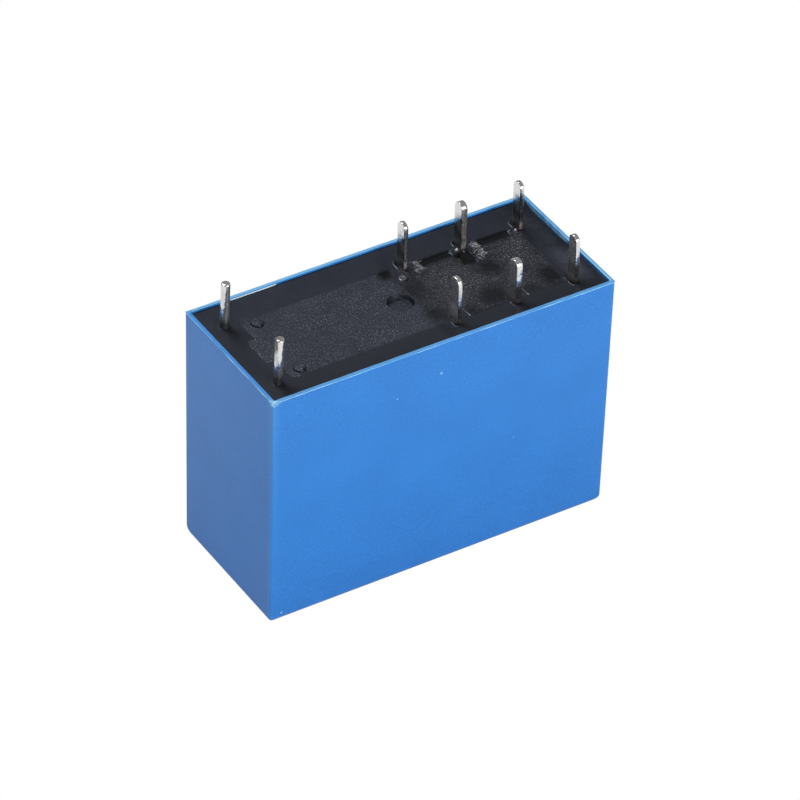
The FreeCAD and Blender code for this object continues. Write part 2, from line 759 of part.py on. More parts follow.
def build_common_terminal(number, side):
    """A common terminal: a blade, and a short strip that the contact spring hangs on."""
    terminal = new_body(f"common_terminal_{number}", x="common_place", y=f"{side} * pin_side")
    shoulder = "(under_level - shoulder_gap)"
    strip = new_sketch(terminal, "YZ_Plane")
    draw_box(strip, "0", f"({shoulder} + spring_root) / 2", "strip_width",
             f"{shoulder} - spring_root")
    pad(strip, "common_thickness", side="Symmetric")
    draw_blade(terminal, "common_thickness", f"{shoulder} - common_thickness")
    return terminal


def build_contact_spring(number, side):
    """A leaf spring: welded at the common terminal, pushed at its tab, round at its tip."""
    spring = new_body(f"contact_spring_{number}", x="spring_left", y=f"{side} * pin_side")
    outer = f"({side} * strip_width / 2)"
    inner = f"(-{side} * strip_width / 2)"
    tab = f"(-{side} * (pin_side - spring_tab_inset))"
    high, low = "(card_level + spring_tab_height / 2)", "(card_level - spring_tab_height / 2)"
    end = "contact_level - spring_tip"
    leaf = new_sketch(spring, "YZ_Plane")
    draw_polygon(leaf, [
        (outer, "spring_root + spring_weld_length"), (outer, end), (inner, end),
        (inner, f"{low} - spring_tab_slope"), (tab, low), (tab, high),
        (inner, f"{high} + spring_tab_slope"), (inner, "spring_root + spring_weld_length")])
    strip = pad(leaf, "spring_thickness")
    soften("Fillet", strip,
           lambda edge: level(edge, end) and near(edge.BoundBox.YLength, 0),
           "spring_tip_radius")
    holes = new_sketch(spring, "YZ_Plane", "spring_thickness")
    draw_circle(holes, "0", "contact_level", "contact_shank + 2 * rivet_clearance")
    nose = "card_nose_side + 2 * card_nose_clearance"
    draw_box(holes, f"{side} * (card_arm_inset + card_arm_width / 2 - pin_side)", "card_level",
             nose, nose)
    pocket(holes, "spring_thickness")
    return spring


def build_rivet(label, side, root, lean, stock, twin):
    """A contact rivet through a strip: a domed head, a shank, and a second head or clinch."""
    rivet = new_body(label, x=root, y=f"{side} * pin_side", z="contact_level")
    profile = new_sketch(rivet, "XZ_Plane")
    back, head = f"-{lean} * {stock}", f"{lean} * contact_head"
    top = f"{lean} * contact_height"
    edge_radius, step = "contact_diameter / 2", "contact_diameter / 4"
    crown = f"{lean} * contact_crown"
    outline = [("0", top), (step, crown), (edge_radius, head), (edge_radius, "0"),
               ("contact_shank / 2", "0"), ("contact_shank / 2", back)]
    if twin:
        outline += [(edge_radius, back), (edge_radius, f"{back} - {head}"),
                    (step, f"{back} - {crown}"), ("0", f"{back} - {top}")]
    else:
        clinch = f"{back} - {lean} * contact_clinch"
        outline += [("contact_clinch_diameter / 2", back),
                    ("contact_clinch_diameter / 2", clinch), ("0", clinch)]
    draw_polygon(profile, [(along, across) for across, along in outline])
    revolve(profile, "H_Axis")
    return rivet


def build_card():
    """The pusher card: a bar on the armature's leg, and an arm and a nose to each spring."""
    card = new_body("pusher_card", z="card_level")
    bar = new_sketch(card, "XY_Plane", "-card_back_height / 2")
    draw_polygon(bar, [("card_face", "-card_width / 2"), ("card_face + card_back", "-card_width / 2"),
                       ("card_face + card_back", "card_width / 2"),
                       ("card_face", "card_width / 2")])
    pad(bar, "card_back_height / 2 + leg_tip - card_level + card_gap")
    lip = new_sketch(card, "XY_Plane", "leg_tip - card_level + card_gap")
    draw_polygon(lip, [("card_face - card_lip_reach", "-card_width / 2"),
                       ("card_face + card_back", "-card_width / 2"),
                       ("card_face + card_back", "card_width / 2"),
                       ("card_face - card_lip_reach", "card_width / 2")])
    pad(lip, "card_lip_thickness")
    arms = new_sketch(card, "XY_Plane", "-card_arm_height / 2")
    noses = new_sketch(card, "XY_Plane", "-card_nose_side / 2")
    tip = "spring_left - card_gap"
    for sign in ("-", ""):
        middle = f"{sign}(card_arm_inset + card_arm_width / 2)"
        draw_box(arms, f"(card_face + {tip}) / 2", middle, f"{tip} - card_face", "card_arm_width")
        draw_box(noses, f"{tip} + card_nose_length / 2 - card_back / 2", middle,
                 "card_nose_length + card_back", "card_nose_side")
    pad(arms, "card_arm_height")
    pad(noses, "card_nose_side")
    return card


def build_resin(cover, base, terminals):
    """The sealing resin: what fills the channel about the panel, up to the cover's wall."""
    block = document.addObject("Part::Box", "resin_block")
    for name, extent in (("Length", "cover_length"), ("Width", "cover_width")):
        block.setExpression(name, bound(f"{extent} - cover_rim_wall"))
    block.setExpression("Height", bound("resin_level - channel_level + resin_skirt"))
    block.setExpression("Placement.Base.x", bound("-(cover_length - cover_rim_wall) / 2"))
    block.setExpression("Placement.Base.y", bound("-(cover_width - cover_rim_wall) / 2"))
    block.setExpression("Placement.Base.z", bound("channel_level - resin_skirt"))
    wells = []
    for place in ("nc_place", "common_place", "no_place"):
        for side in (-1, 1):
            well = document.addObject("Part::Box", "resin_well")
            well.setExpression("Length", bound("pin_well_length"))
            well.setExpression("Width", bound("pin_well_width"))
            well.setExpression("Height", bound("pin_well_depth"))
            well.setExpression("Placement.Base.x", bound(f"{place} - pin_well_length / 2"))
            well.setExpression("Placement.Base.y", bound(f"{side} * pin_side - pin_well_width / 2"))
            well.setExpression("Placement.Base.z", bound("resin_level - pin_well_depth"))
            wells.append(well)
    opening = new_body("resin_opening")
    raise_panel(opening, "channel_level - resin_skirt", "resin_level + button_height")
    displaced = document.addObject("Part::MultiFuse", "resin_displaced")
    displaced.Shapes = [cover, base, opening] + wells + terminals
    resin = document.addObject("Part::Cut", "sealing_resin")
    resin.Base = block
    resin.Tool = displaced
    resin.Label = "sealing_resin"
    document.recompute()
    return resin


def build_contact_set(number, side):
    """One pole: its three terminals, its spring and its contacts."""
    nc_terminal = build_fixed_terminal(f"nc_terminal_{number}", "nc_place", side,
                                       "nc_strip_face", 1)
    common = build_common_terminal(number, side)
    no_terminal = build_fixed_terminal(f"no_terminal_{number}", "no_place", side,
                                       "no_strip_face", -1)
    small = [
        build_contact_spring(number, side),
        build_rivet(f"nc_contact_{number}", side, "nc_strip_face", 1, "blade_thickness", False),
        build_rivet(f"no_contact_{number}", side, "no_strip_face", -1, "blade_thickness", False),
        build_rivet(f"moving_contact_{number}", side, "spring_right", 1, "spring_thickness",
                    True)]
    return [nc_terminal, common, no_terminal], small


def main():
    fill_sheets()
    cover = build_cover()
    base = build_base()
    nodes = [cover, base, build_yoke(), build_core(), build_bobbin(), build_armature(),
             build_hinge_spring(), build_card()]
    wound = "winding_diameter / 2"
    nodes.append(build_ring("coil_winding", "barrel_diameter / 2", wound, "winding_floor",
                            "winding_ceiling"))
    nodes.append(build_ring("coil_tape", wound, f"{wound} + tape_thickness",
                            "winding_floor + tape_margin", "winding_ceiling - tape_margin"))
    through = []
    for number, side in ((1, -1), (2, 1)):
        coil_terminal = build_coil_terminal(number, side)
        terminals, small = build_contact_set(number, side)
        through += [coil_terminal] + terminals
        nodes += [build_coil_lead(number, side)] + small
    nodes += through
    nodes.append(build_resin(cover, base, through))
    document.recompute()
    for item in document.Objects:
        if "Invalid" in item.State or "Error" in item.State:
            raise RuntimeError(f"{item.Label}: {item.State}")
    for node in nodes:
        if node.Shape.isNull() or not node.Shape.isValid() or not node.Shape.Solids:
            raise RuntimeError(f"{node.Label}: no valid solid")
    os.makedirs("parts", exist_ok=True)
    for node in nodes:
        node.Shape.exportStep(f"parts/{node.Label}.step")
        print(node.Label, len(node.Shape.Solids), round(node.Shape.Volume, 4))
    print("nodes", len(nodes))
    print("card travel", round(value("card_travel"), 4),
          "contact travel", round(value("contact_travel"), 4),
          "spring turn", round(math.degrees(value("card_travel")
                                            / value("spring_root - card_level")), 4))


main()
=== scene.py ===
import json
import math

import bmesh
import bpy
import numpy as np
from mathutils import Matrix, Vector


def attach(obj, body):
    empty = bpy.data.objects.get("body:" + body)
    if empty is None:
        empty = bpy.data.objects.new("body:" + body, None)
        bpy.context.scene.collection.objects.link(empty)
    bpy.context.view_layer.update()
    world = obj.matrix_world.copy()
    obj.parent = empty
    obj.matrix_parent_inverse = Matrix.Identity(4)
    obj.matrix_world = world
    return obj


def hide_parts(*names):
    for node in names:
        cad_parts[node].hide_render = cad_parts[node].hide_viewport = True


# The looks of a sealed power relay that lies on the closed face of its cover. Sizes and
# places are in millimetres, and the helpers give them to Blender in metres.

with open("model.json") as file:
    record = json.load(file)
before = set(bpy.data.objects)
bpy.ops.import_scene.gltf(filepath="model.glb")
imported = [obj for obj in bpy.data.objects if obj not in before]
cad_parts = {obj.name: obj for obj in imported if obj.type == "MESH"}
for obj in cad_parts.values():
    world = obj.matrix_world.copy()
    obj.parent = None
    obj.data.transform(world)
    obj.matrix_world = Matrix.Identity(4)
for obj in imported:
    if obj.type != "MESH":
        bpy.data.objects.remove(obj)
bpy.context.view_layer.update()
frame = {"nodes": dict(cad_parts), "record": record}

MM = 0.001
# places that are closer than this count as one
TINY = 0.001

# cover: its block, the draft of each wall, the wall at the rim and what it gains lower down
LENGTH, WIDTH, RIM = 29.0, 12.4, 20.65
DRAFT, RIM_WALL, WALL_GAIN, CLOSED_WALL = 0.1, 0.3, 0.2, 0.7
# its rounded edges: about the closed face and along its back, about the rim, and up the
# corners at the contact end, at the coil end and inside
EDGE, BACK_EDGE, RIM_EDGE = 0.6, 1.6, 0.05
CONTACT_CORNER, COIL_CORNER, INNER_CORNER = 0.24, 0.168, 0.072
# heights of the base's panel, its channel and its underside, of the resin and of the tips
PANEL, CHANNEL, UNDER, RESIN, TIP = 20.15, 19.05, 17.4, 20.25, 24.15
# the panel: its ends, half its width, where its lower half begins, and its tab
PANEL_LEFT, PANEL_RIGHT, PANEL_SIDE, PANEL_SPLIT = -11.5, 12.13, 3.88, 1.16
TAB_LENGTH, TAB_SIDE = 0.73, 1.5
# terminals: their places along X, and the two rows' distance from the middle
COIL_X, NC_X, COMMON_X, NO_X, ROW = -12.65, 2.35, 7.35, 12.35, 3.75
# a blade's width, the thickness of its strip and of the common one, and the coil pin's radius
BLADE, THICK, COMMON_THICK, PIN_RADIUS = 1.0, 0.43, 0.5, 0.35
# the blades that aren't common look thinner than their strips above the resin
PIN_THICK = 0.34
# inside the cover: half a strip's width, how low the strips and the posts reach, how far a
# strip's joggle runs, to its inner and its outer face, and the side of a coil pin's post
STRIP_SIDE, STRIP_FOOT, COMMON_FOOT, POST_FOOT = 1.3, 4.1, 14.2, 13.0
STRIP_NEAR, STRIP_FAR, POST = 2.88, 3.31, 0.56
# how far the base and the resin stay off the cover's wall, and the resin's lowest height
BASE_GAP, RESIN_GAP, RESIN_FOOT = 0.15, 0.005, 18.55
# the barrier between the poles: its ends along X, its thickness and its foot
BARRIER_LEFT, BARRIER_RIGHT, BARRIER_THICK, BARRIER_FOOT = 2.9, 13.3, 0.9, 1.2
# how far a blade starts below the base and a coil pin below the resin, what a strip keeps
# from the base, and how far two boxes of one piece run into each other
BURIED, STRIP_GAP, LAP = 0.3, 0.05, 0.1
# rounded edges: a blade's and a post's, a strip's, a barrier's, and a coil pin's blunt tip
PIN_EDGE, STRIP_EDGE, BARRIER_EDGE, BLUNT = 0.05, 0.08, 0.1, 0.13


# Modelling: primitives, then operators on the open piece

def scale(x, y, z, middle=(0, 0, 0)):
    """Scales what is selected about a middle in mm."""
    bpy.ops.transform.resize(value=(x, y, z), center_override=[m * MM for m in middle])


def move(x, y, z):
    """Moves what is selected."""
    bpy.ops.transform.translate(value=(x * MM, y * MM, z * MM))


def extrude(x, y, z):
    """Extrudes what is selected, and moves what is new."""
    bpy.ops.mesh.extrude_region_move(TRANSFORM_OT_translate={"value": (x * MM, y * MM, z * MM)})


def bevel(width, steps):
    """Rounds the selected edges by a width, with a number of facets."""
    bpy.ops.mesh.bevel(offset=width * MM, segments=steps, clamp_overlap=False)


def cut(place, direction):
    """Cuts what is selected with a plane, and keeps both sides."""
    bpy.ops.mesh.bisect(plane_co=[p * MM for p in place], plane_no=direction, threshold=1e-7)


def cut_through(axis, places):
    """Cuts the whole open piece across an axis at each place."""
    direction = [float(axis == each) for each in "XYZ"]
    for place in places:
        bpy.ops.mesh.select_all(action="SELECT")
        cut([place * share for share in direction], direction)


def add_shape(primitive, middle, name=None, **settings):
    """A primitive at its place, as a new piece if it has a name, else in the open one."""
    if name:
        bpy.ops.object.select_all(action="DESELECT")
    else:
        bpy.ops.mesh.select_all(action="DESELECT")
    primitive(location=[m * MM for m in middle], **settings)
    if name:
        bpy.context.object.name = bpy.context.object.data.name = name
        bpy.ops.object.transform_apply()
        bpy.ops.object.mode_set(mode="EDIT")


def add_box(middle, sides, name=None):
    """A box from its middle and its three sides."""
    add_shape(bpy.ops.mesh.primitive_cube_add, middle, name, size=1,
              scale=[side * MM for side in sides])


def pick(kind, test):
    """Selects the edges or faces of the open piece whose corners, in mm, pass a test."""
    mesh = bmesh.from_edit_mesh(bpy.context.object.data)
    mesh.select_mode = {kind}
    bpy.context.tool_settings.mesh_select_mode = [kind == each for each in ("VERT", "EDGE", "FACE")]
    for part in (*mesh.faces, *mesh.edges, *mesh.verts):
        part.select_set(False)
    for part in mesh.edges if kind == "EDGE" else mesh.faces:
        part.select_set(bool(test(np.array([corner.co for corner in part.verts]) / MM)))
    mesh.select_flush_mode()
    bmesh.update_edit_mesh(bpy.context.object.data)


def close_piece(material, nodes, sharp=35):
    """Ends work on the open piece, which rides on the housing and stands for CAD nodes."""
    bpy.ops.object.mode_set(mode="OBJECT")
    piece = bpy.context.object
    piece.data.materials.append(material)
    bpy.ops.object.shade_smooth_by_angle(angle=math.radians(sharp))
    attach(piece, "housing")
    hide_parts(*nodes)
    return piece


def copy_open_piece(name, x, y, z):
    """Copies the open piece with a mesh of its own, and leaves the moved copy open."""
    bpy.ops.object.mode_set(mode="OBJECT")
    bpy.ops.object.duplicate()
    bpy.context.object.name = bpy.context.object.data.name = name
    bpy.ops.object.mode_set(mode="EDIT")
    bpy.ops.mesh.select_all(action="SELECT")
    move(x, y, z)


def select_piece(piece):
    """Makes a finished mesh the piece that the next calls work on."""
    bpy.ops.object.select_all(action="DESELECT")
    piece.select_set(True)
    bpy.context.view_layer.objects.active = piece


def get_points(piece):
    """The points of a mesh, in mm, one row each."""
    points = np.empty(3 * len(piece.data.vertices), np.float32)
    piece.data.vertices.foreach_get("co", points)
    return points.reshape(-1, 3) / MM


def set_points(piece, points):
    """Puts the points of a mesh at places in mm."""
    piece.data.vertices.foreach_set("co", (points * MM).astype(np.float32).ravel())
    piece.data.update()


def paint(piece, name, values):
    """Stores one number per point, for the material to read."""
    attribute = piece.data.attributes.new(name, "FLOAT", "POINT")
    attribute.data.foreach_set("value", np.asarray(values, np.float32).ravel())


def ramp(value, width=1.0):
    """Rises straight from 0 at zero to 1 at a width, and stays between the two."""
    return np.clip(value / width, 0, 1)


def wave(x, y, size, seed, octaves=3):
    """Smooth noise between about -1 and 1, from sums of tilted sine waves."""
    picker = np.random.default_rng(seed)
    total, weight = np.zeros(np.broadcast(x, y).shape), 0
    for octave in range(octaves):
        for _ in range(5):
            angle, phase = picker.uniform(0, 2 * math.pi, 2)
            pitch = size / 2 ** octave * picker.uniform(0.7, 1.4)
            run = (np.cos(angle) * x + np.sin(angle) * y) * 2 * math.pi / pitch
            total = total + np.sin(run + phase + 1.7 * np.sin(run * 0.37 + phase)) / 2 ** octave
        weight += 2.4 / 2 ** octave
    return total / weight


# Materials

def linear(code):
    """Linear RGBA from an sRGB hex code."""
    parts = [int(code[k:k + 2], 16) / 255 for k in (0, 2, 4)]
    return tuple(p / 12.92 if p <= 0.04045 else ((p + 0.055) / 1.055) ** 2.4
                 for p in parts) + (1.0,)


def add(tree, kind, inputs=None, stops=None, out=None, **settings):
    """Adds a node with its settings, its inputs as links or values, and a ramp's stops."""
    node = tree.nodes.new(kind)
    for key, value in settings.items():
        setattr(node, key, value)
    for socket, value in (inputs or {}).items():
        if isinstance(value, bpy.types.NodeSocket):
            tree.links.new(value, node.inputs[socket])
        else:
            node.inputs[socket].default_value = value
    for number, (position, colour) in enumerate(stops or ()):
        elements = node.color_ramp.elements
        element = elements[number] if number < 2 else elements.new(position)
        element.position = position
        element.color = linear(colour) if isinstance(colour, str) else (colour,) * 3 + (1.0,)
    return node.outputs[out] if out else next((o for o in node.outputs if o.enabled), node)


RAMP, NOISE, MIX, MATH = ("ShaderNodeValToRGB", "ShaderNodeTexNoise", "ShaderNodeMix",
                          "ShaderNodeMath")
COLOUR = {"data_type": "RGBA"}
# the sockets of a colour mix
SHARE, FIRST, SECOND = 0, 6, 7


def per_mm(pitch):
    """The scale of a pattern on Object coordinates, from its pitch in millimetres."""
    return 1 / (pitch * MM)


def finish_material(name, recipe):
    """A material whose surface is a Principled shader with the recipe's inputs."""
    material = bpy.data.materials.new(name)
    material.use_nodes = True
    tree = material.node_tree
    tree.nodes.remove(tree.nodes["Principled BSDF"])
    place = add(tree, "ShaderNodeTexCoord", out="Object")
    surface = add(tree, "ShaderNodeBsdfPrincipled", recipe(tree, place))
    tree.links.new(surface, tree.nodes["Material Output"].inputs["Surface"])
    return material


# pale flecks in the cover's front face: x, height and radius
FLECKS = ((-0.36, 17.94, 0.1), (-4.06, 17.0, 0.06), (-13.43, 0.85, 0.09), (6.2, 9.4, 0.05))


def blue_cover(tree, place):
    """Polyester, moulded in blue with a fine matt skin. The eye sees an even blue, faintly
    clouded by the flow of the melt, a few pale flecks, and paler edges at the rim: rubbed in
    places, and elsewhere painted highlights on the rim and the lit inner walls."""
    cloud = add(tree, NOISE, {"Vector": place, "Scale": per_mm(5.0), "Detail": 4.0})
    melt = add(tree, RAMP, {0: cloud}, [(0.3, "1877CC"), (0.7, "1D7DD3")])
    # the real skin is finer: it is drawn at 0.11 mm, the finest that shows
    grain = add(tree, NOISE, {"Vector": place, "Scale": per_mm(0.11), "Detail": 2.0})
    mottle = add(tree, RAMP, {0: grain}, [(0.3, 0.8), (0.7, 1.03)])
    skin = add(tree, MIX, {SHARE: 1.0, FIRST: melt, SECOND: mottle}, blend_type="MULTIPLY",
               **COLOUR)
    flecked = 0.0
    for x, z, radius in FLECKS:
        wall = DRAFT * (1 - z / RIM) - WIDTH / 2
        away = add(tree, "ShaderNodeVectorMath", {
            0: place, 1: (x * MM, wall * MM, z * MM)}, operation="DISTANCE", out="Value")
        spot = add(tree, MATH, {0: away, 1: radius * MM}, operation="LESS_THAN")
        flecked = add(tree, MATH, {0: spot, 1: flecked}, operation="MAXIMUM")
    skin = add(tree, MIX, {SHARE: flecked, FIRST: skin, SECOND: linear("7FB4E4")}, **COLOUR)
    # pale where the blue is rubbed, and painted highlights on the rim's top, its edges and the lit
    # inner walls
    rub_and_highlight = add(tree, "ShaderNodeAttribute", attribute_name="rubbed_and_highlit", out="Fac")
    rubbed_and_highlit = add(tree, RAMP, {0: rub_and_highlight}, [(0.0, "4E9FDC"), (1.0, "D8ECF8"), (0.5, "84C0E8")])
    share = add(tree, RAMP, {0: rub_and_highlight}, [(0.0, 0.0), (0.35, 1.0)])
    colour = add(tree, MIX, {SHARE: share, FIRST: skin, SECOND: rubbed_and_highlit}, **COLOUR)
    normal = add(tree, "ShaderNodeBump", {"Height": grain, "Distance": 0.006 * MM})
    return {"Base Color": colour, "Roughness": 0.42, "Normal": normal}


def black_base(tree, place):
    """Polyester, moulded in black from a spark-eroded tool. The eye sees a grey-black panel
    full of tiny glints, in patches, and dark blotches where resin has filled the grain, darkened
    further as painted shade, and a painted highlight along the tab's outline."""
    grain = add(tree, NOISE, {"Vector": place, "Scale": per_mm(0.18), "Detail": 4.0,
                              "Roughness": 0.7})
    cloud = add(tree, NOISE, {"Vector": place, "Scale": per_mm(1.3)})
    tone = add(tree, RAMP, {0: cloud}, [(0.3, "12141B"), (0.7, "20232D")])
    glint = add(tree, NOISE, {"Vector": place, "Scale": per_mm(0.12), "Roughness": 0.6})
    glint = add(tree, RAMP, {0: glint}, [(0.57, 0.0), (0.77, 0.8)])
    patch = add(tree, NOISE, {"Vector": place, "Scale": per_mm(3.2), "Detail": 3.0})
    patch = add(tree, RAMP, {0: patch}, [(0.3, 0.45), (0.7, 1.0)])
    # lighter under dust, and a painted highlight along the tab's outline
    dust_and_highlight = add(tree, "ShaderNodeAttribute", attribute_name="dust_and_edge_highlight", out="Fac")
    patch = add(tree, MATH, {0: patch, 1: dust_and_highlight}, operation="ADD")
    sealed = add(tree, "ShaderNodeAttribute", attribute_name="sealed", out="Fac")
    open_grain = add(tree, MATH, {0: 1.0, 1: sealed}, operation="SUBTRACT", use_clamp=True)
    shown = add(tree, MATH, {0: glint, 1: patch}, operation="MULTIPLY")
    shown = add(tree, MATH, {0: shown, 1: open_grain}, operation="MULTIPLY", use_clamp=True)
    # darker in blotches, partly resin in the grain and partly painted shade, and on the contact
    # side
    stain_and_shade_share = add(tree, "ShaderNodeAttribute", attribute_name="stain_and_shade", out="Fac")
    tone = add(tree, MIX, {SHARE: stain_and_shade_share, FIRST: tone, SECOND: linear("040404")}, **COLOUR)
    fleck = add(tree, MIX, {SHARE: stain_and_shade_share, FIRST: linear("8E93A4"), SECOND: linear("B2AAA0")},
                **COLOUR)
    colour = add(tree, MIX, {SHARE: shown, FIRST: tone, SECOND: fleck}, **COLOUR)
    rough = add(tree, RAMP, {0: stain_and_shade_share}, [(0.4, 0.5), (1.0, 0.12), (0.6, 0.34)])
    height = add(tree, MATH, {0: grain, 1: open_grain}, operation="MULTIPLY")
    normal = add(tree, "ShaderNodeBump", {"Height": height, "Distance": 0.06 * MM})
    return {"Base Color": colour, "Roughness": rough, "Normal": normal,
            "Specular Tint": linear("D6E0F8")}


def sealing_resin(tree, place):
    """Epoxy, poured and cured, black with a satin skin. The eye sees a smooth slate border,
    a little uneven in gloss, and wet-looking lumps where it has run onto the base."""
    cloud = add(tree, NOISE, {"Vector": place, "Scale": per_mm(2.2)})
    tone = add(tree, RAMP, {0: cloud}, [(0.3, "0D0E14"), (0.7, "13151C")])
    drag = add(tree, NOISE, {"Vector": place, "Scale": per_mm(0.7), "Detail": 4.0})
    satin = add(tree, RAMP, {0: drag}, [(0.3, 0.5), (0.7, 0.6)])
    wet = add(tree, "ShaderNodeAttribute", attribute_name="wet", out="Fac")
    gloss = add(tree, MIX, {SHARE: wet, FIRST: satin, SECOND: (0.12, 0.12, 0.12, 1)}, **COLOUR)
    # darker in blotches as painted shade, and painted shadows by the coil pins
    stain_and_shade_share = add(tree, "ShaderNodeAttribute", attribute_name="stain_and_shade", out="Fac")
    colour = add(tree, MIX, {SHARE: stain_and_shade_share, FIRST: tone, SECOND: linear("050506")}, **COLOUR)
    # light scratches, and painted highlights on the creases and lumps
    chalk_and_highlight_share = add(tree, "ShaderNodeAttribute", attribute_name="chalk_and_highlight", out="Fac")
    broken = add(tree, NOISE, {"Vector": place, "Scale": per_mm(0.15), "Detail": 2.0})
    broken = add(tree, RAMP, {0: broken}, [(0.4, 0.35), (0.6, 1.0)])
    shown = add(tree, MATH, {0: chalk_and_highlight_share, 1: broken}, operation="MULTIPLY", use_clamp=True)
    colour = add(tree, MIX, {SHARE: shown, FIRST: colour, SECOND: linear("D2D6DE")}, **COLOUR)
    orange_peel = add(tree, NOISE, {"Vector": place, "Scale": per_mm(0.3)})
    normal = add(tree, "ShaderNodeBump", {"Height": orange_peel, "Distance": 0.008 * MM})
    return {"Base Color": colour, "Roughness": gloss, "Normal": normal,
            "Specular Tint": linear("D0DCF8")}


def tinned_copper(tree, place):
    """Copper alloy, stamped or drawn, then hot tinned. The eye sees a bright, wavy mirror
    with fine lines up the pin, and bare copper where the shears and the resin reached."""
    drawn = add(tree, "ShaderNodeMapping", {"Vector": place, "Scale": (1, 1, 0.12)})
    lines = add(tree, NOISE, {"Vector": drawn, "Scale": per_mm(0.12), "Detail": 3.0})
    bare = add(tree, "ShaderNodeAttribute", attribute_name="bare", out="Fac")
    colour = add(tree, MIX, {SHARE: bare, FIRST: linear("E6E5E4"), SECOND: linear("6B4630")},
                 **COLOUR)
    # painted dark reflections of the resin on the blades and up a coil pin's side, and a real resin
    # film on the coil pins' feet
    reflection_and_film_share = add(tree, "ShaderNodeAttribute", attribute_name="reflection_and_film", out="Fac")
    colour = add(tree, MIX, {SHARE: reflection_and_film_share, FIRST: colour, SECOND: linear("1B1C20")}, **COLOUR)
    metal = add(tree, RAMP, {0: bare}, [(0.0, 0.9), (1.0, 0.45)])
    rough = add(tree, RAMP, {0: lines}, [(0.3, 0.05), (0.75, 0.2)])
    lines = add(tree, MATH, {0: lines, 1: 0.3}, operation="MULTIPLY")
    dips = add(tree, NOISE, {"Vector": place, "Scale": per_mm(0.5), "Detail": 1.0})
    swell = add(tree, MATH, {0: lines, 1: dips}, operation="ADD")
    normal = add(tree, "ShaderNodeBump", {"Height": swell, "Distance": 0.04 * MM})
    return {"Base Color": colour, "Roughness": rough, "Normal": normal, "Metallic": metal}


# The stocks inside the cover: two tones, the pattern's pitch in mm and its stretch along
# X, Y and Z, roughness, metallic, and the depth of its relief in mm.
INNER = {
    # nylon, moulded in its natural colour: a creamy, slightly clouded matt body
    "bobbin_plastic": ("nylon_moulded", "C9C5B4", "D8D4C6", 1.2, (1, 1, 1), 0.45, 0.0, 0.01),
    # copper wire, enamelled and wound: red-brown rings round the coil, one per turn
    "copper_wire": ("copper_enamelled", "8E4A20", "B4652F", 0.25, (0.02, 0.02, 2), 0.25, 1.0, 0.05),
    # polyester film, slit and wrapped: amber, glossy, with faint lines along the tape
    "coil_tape": ("polyester_film", "B8861C", "CC9A2C", 0.8, (1, 1, 0.2), 0.3, 0.0, 0.01),
    # soft iron, stamped and zinc plated: a pale grey satin with rolling lines
    "magnet_steel": ("iron_zinc_plated", "A9ACAE", "BEC1C2", 0.5, (1, 0.1, 1), 0.3, 1.0, 0.01),
    # spring steel, rolled: a cool bright strip with fine lines along it
    "spring_steel": ("steel_rolled", "B5B5B3", "C6C6C4", 0.2, (1, 1, 0.05), 0.2, 1.0, 0.004),
    # polyester, moulded in ivory: even and matt
    "card_plastic": ("polyester_moulded", "DAD7C8", "E6E3D6", 1.0, (1, 1, 1), 0.5, 0.0, 0.01),
    # silver alloy, headed into rivets: a soft white metal, slightly dimpled
    "contact_silver": ("silver_headed", "D2D0CA", "E2E0DA", 0.3, (1, 1, 1), 0.2, 1.0, 0.006),
    # phosphor bronze, rolled: warm golden brown with fine lines along the strip
    "spring_bronze": ("bronze_rolled", "B9793F", "CB8C50", 0.2, (1, 1, 0.05), 0.22, 1.0, 0.004),
}


def inner_stock(dark, light, pitch, stretch, rough, metallic, depth):
    """The recipe of a stock from its row in the table."""
    def recipe(tree, place):
        drawn = add(tree, "ShaderNodeMapping", {"Vector": place, "Scale": stretch})
        pattern = add(tree, NOISE, {"Vector": drawn, "Scale": per_mm(pitch), "Detail": 4.0})
        colour = add(tree, RAMP, {0: pattern}, [(0.3, dark), (0.7, light)])
        gloss = add(tree, RAMP, {0: pattern}, [(0.3, rough), (0.7, rough + 0.12)])
        normal = add(tree, "ShaderNodeBump", {"Height": pattern, "Distance": depth * MM})
        return {"Base Color": colour, "Roughness": gloss, "Normal": normal,
                "Metallic": metallic}
    return recipe


MATERIALS = {
    "blue_cover": finish_material("polyester_moulded_blue", blue_cover),
    "black_base": finish_material("polyester_moulded_black", black_base),
    "sealing_resin": finish_material("epoxy_cast_black", sealing_resin),
    "tinned_copper": finish_material("copper_hot_tinned", tinned_copper),
}
for slot, (name, *stock) in INNER.items():
    MATERIALS[slot] = finish_material(name, inner_stock(*stock))
slots = {part["node"]: part["material_slot"] for part in frame["record"]["subparts"]}
for node_name, node in frame["nodes"].items():
    node.data.materials.clear()
    node.data.materials.append(MATERIALS[slots[node_name]])


# Cover

# the rim's paler outer line, and the depths of the hollow's first rows, where its wall shows
RIM_LINE, LIP_1, LIP_2 = 0.08, 0.12, 0.35
# the painted highlight along the inside of the back wall: its ends along X
BACK_HIGHLIGHT_LEFT, BACK_HIGHLIGHT_RIGHT = -10.85, -7.05


def off_wall(points):
    """How far points lie inside the block, from its X walls and from its Y walls."""
    return np.column_stack([LENGTH / 2 - np.abs(points[:, 0]), WIDTH / 2 - np.abs(points[:, 1])])


def up_corner(points):
    """Whether an edge runs up a corner, where two walls of the cover meet."""
    off = off_wall(points)
    return np.ptp(points[:, 0]) < 1 and np.ptp(points[:, 1]) < 1 \
        and points[:, 2].min() < RIM - TINY and abs(off[:, 0] - off[:, 1]).max() < 0.02


def up_outer_corner(points):
    """The same outside, with the mitre of the closed face's rounded edges."""
    off = off_wall(points)
    return up_corner(points) and off.max() < EDGE + 0.2 \
        and ((off < 0.15) | (points[:, 2:] < EDGE + 0.01)).all()


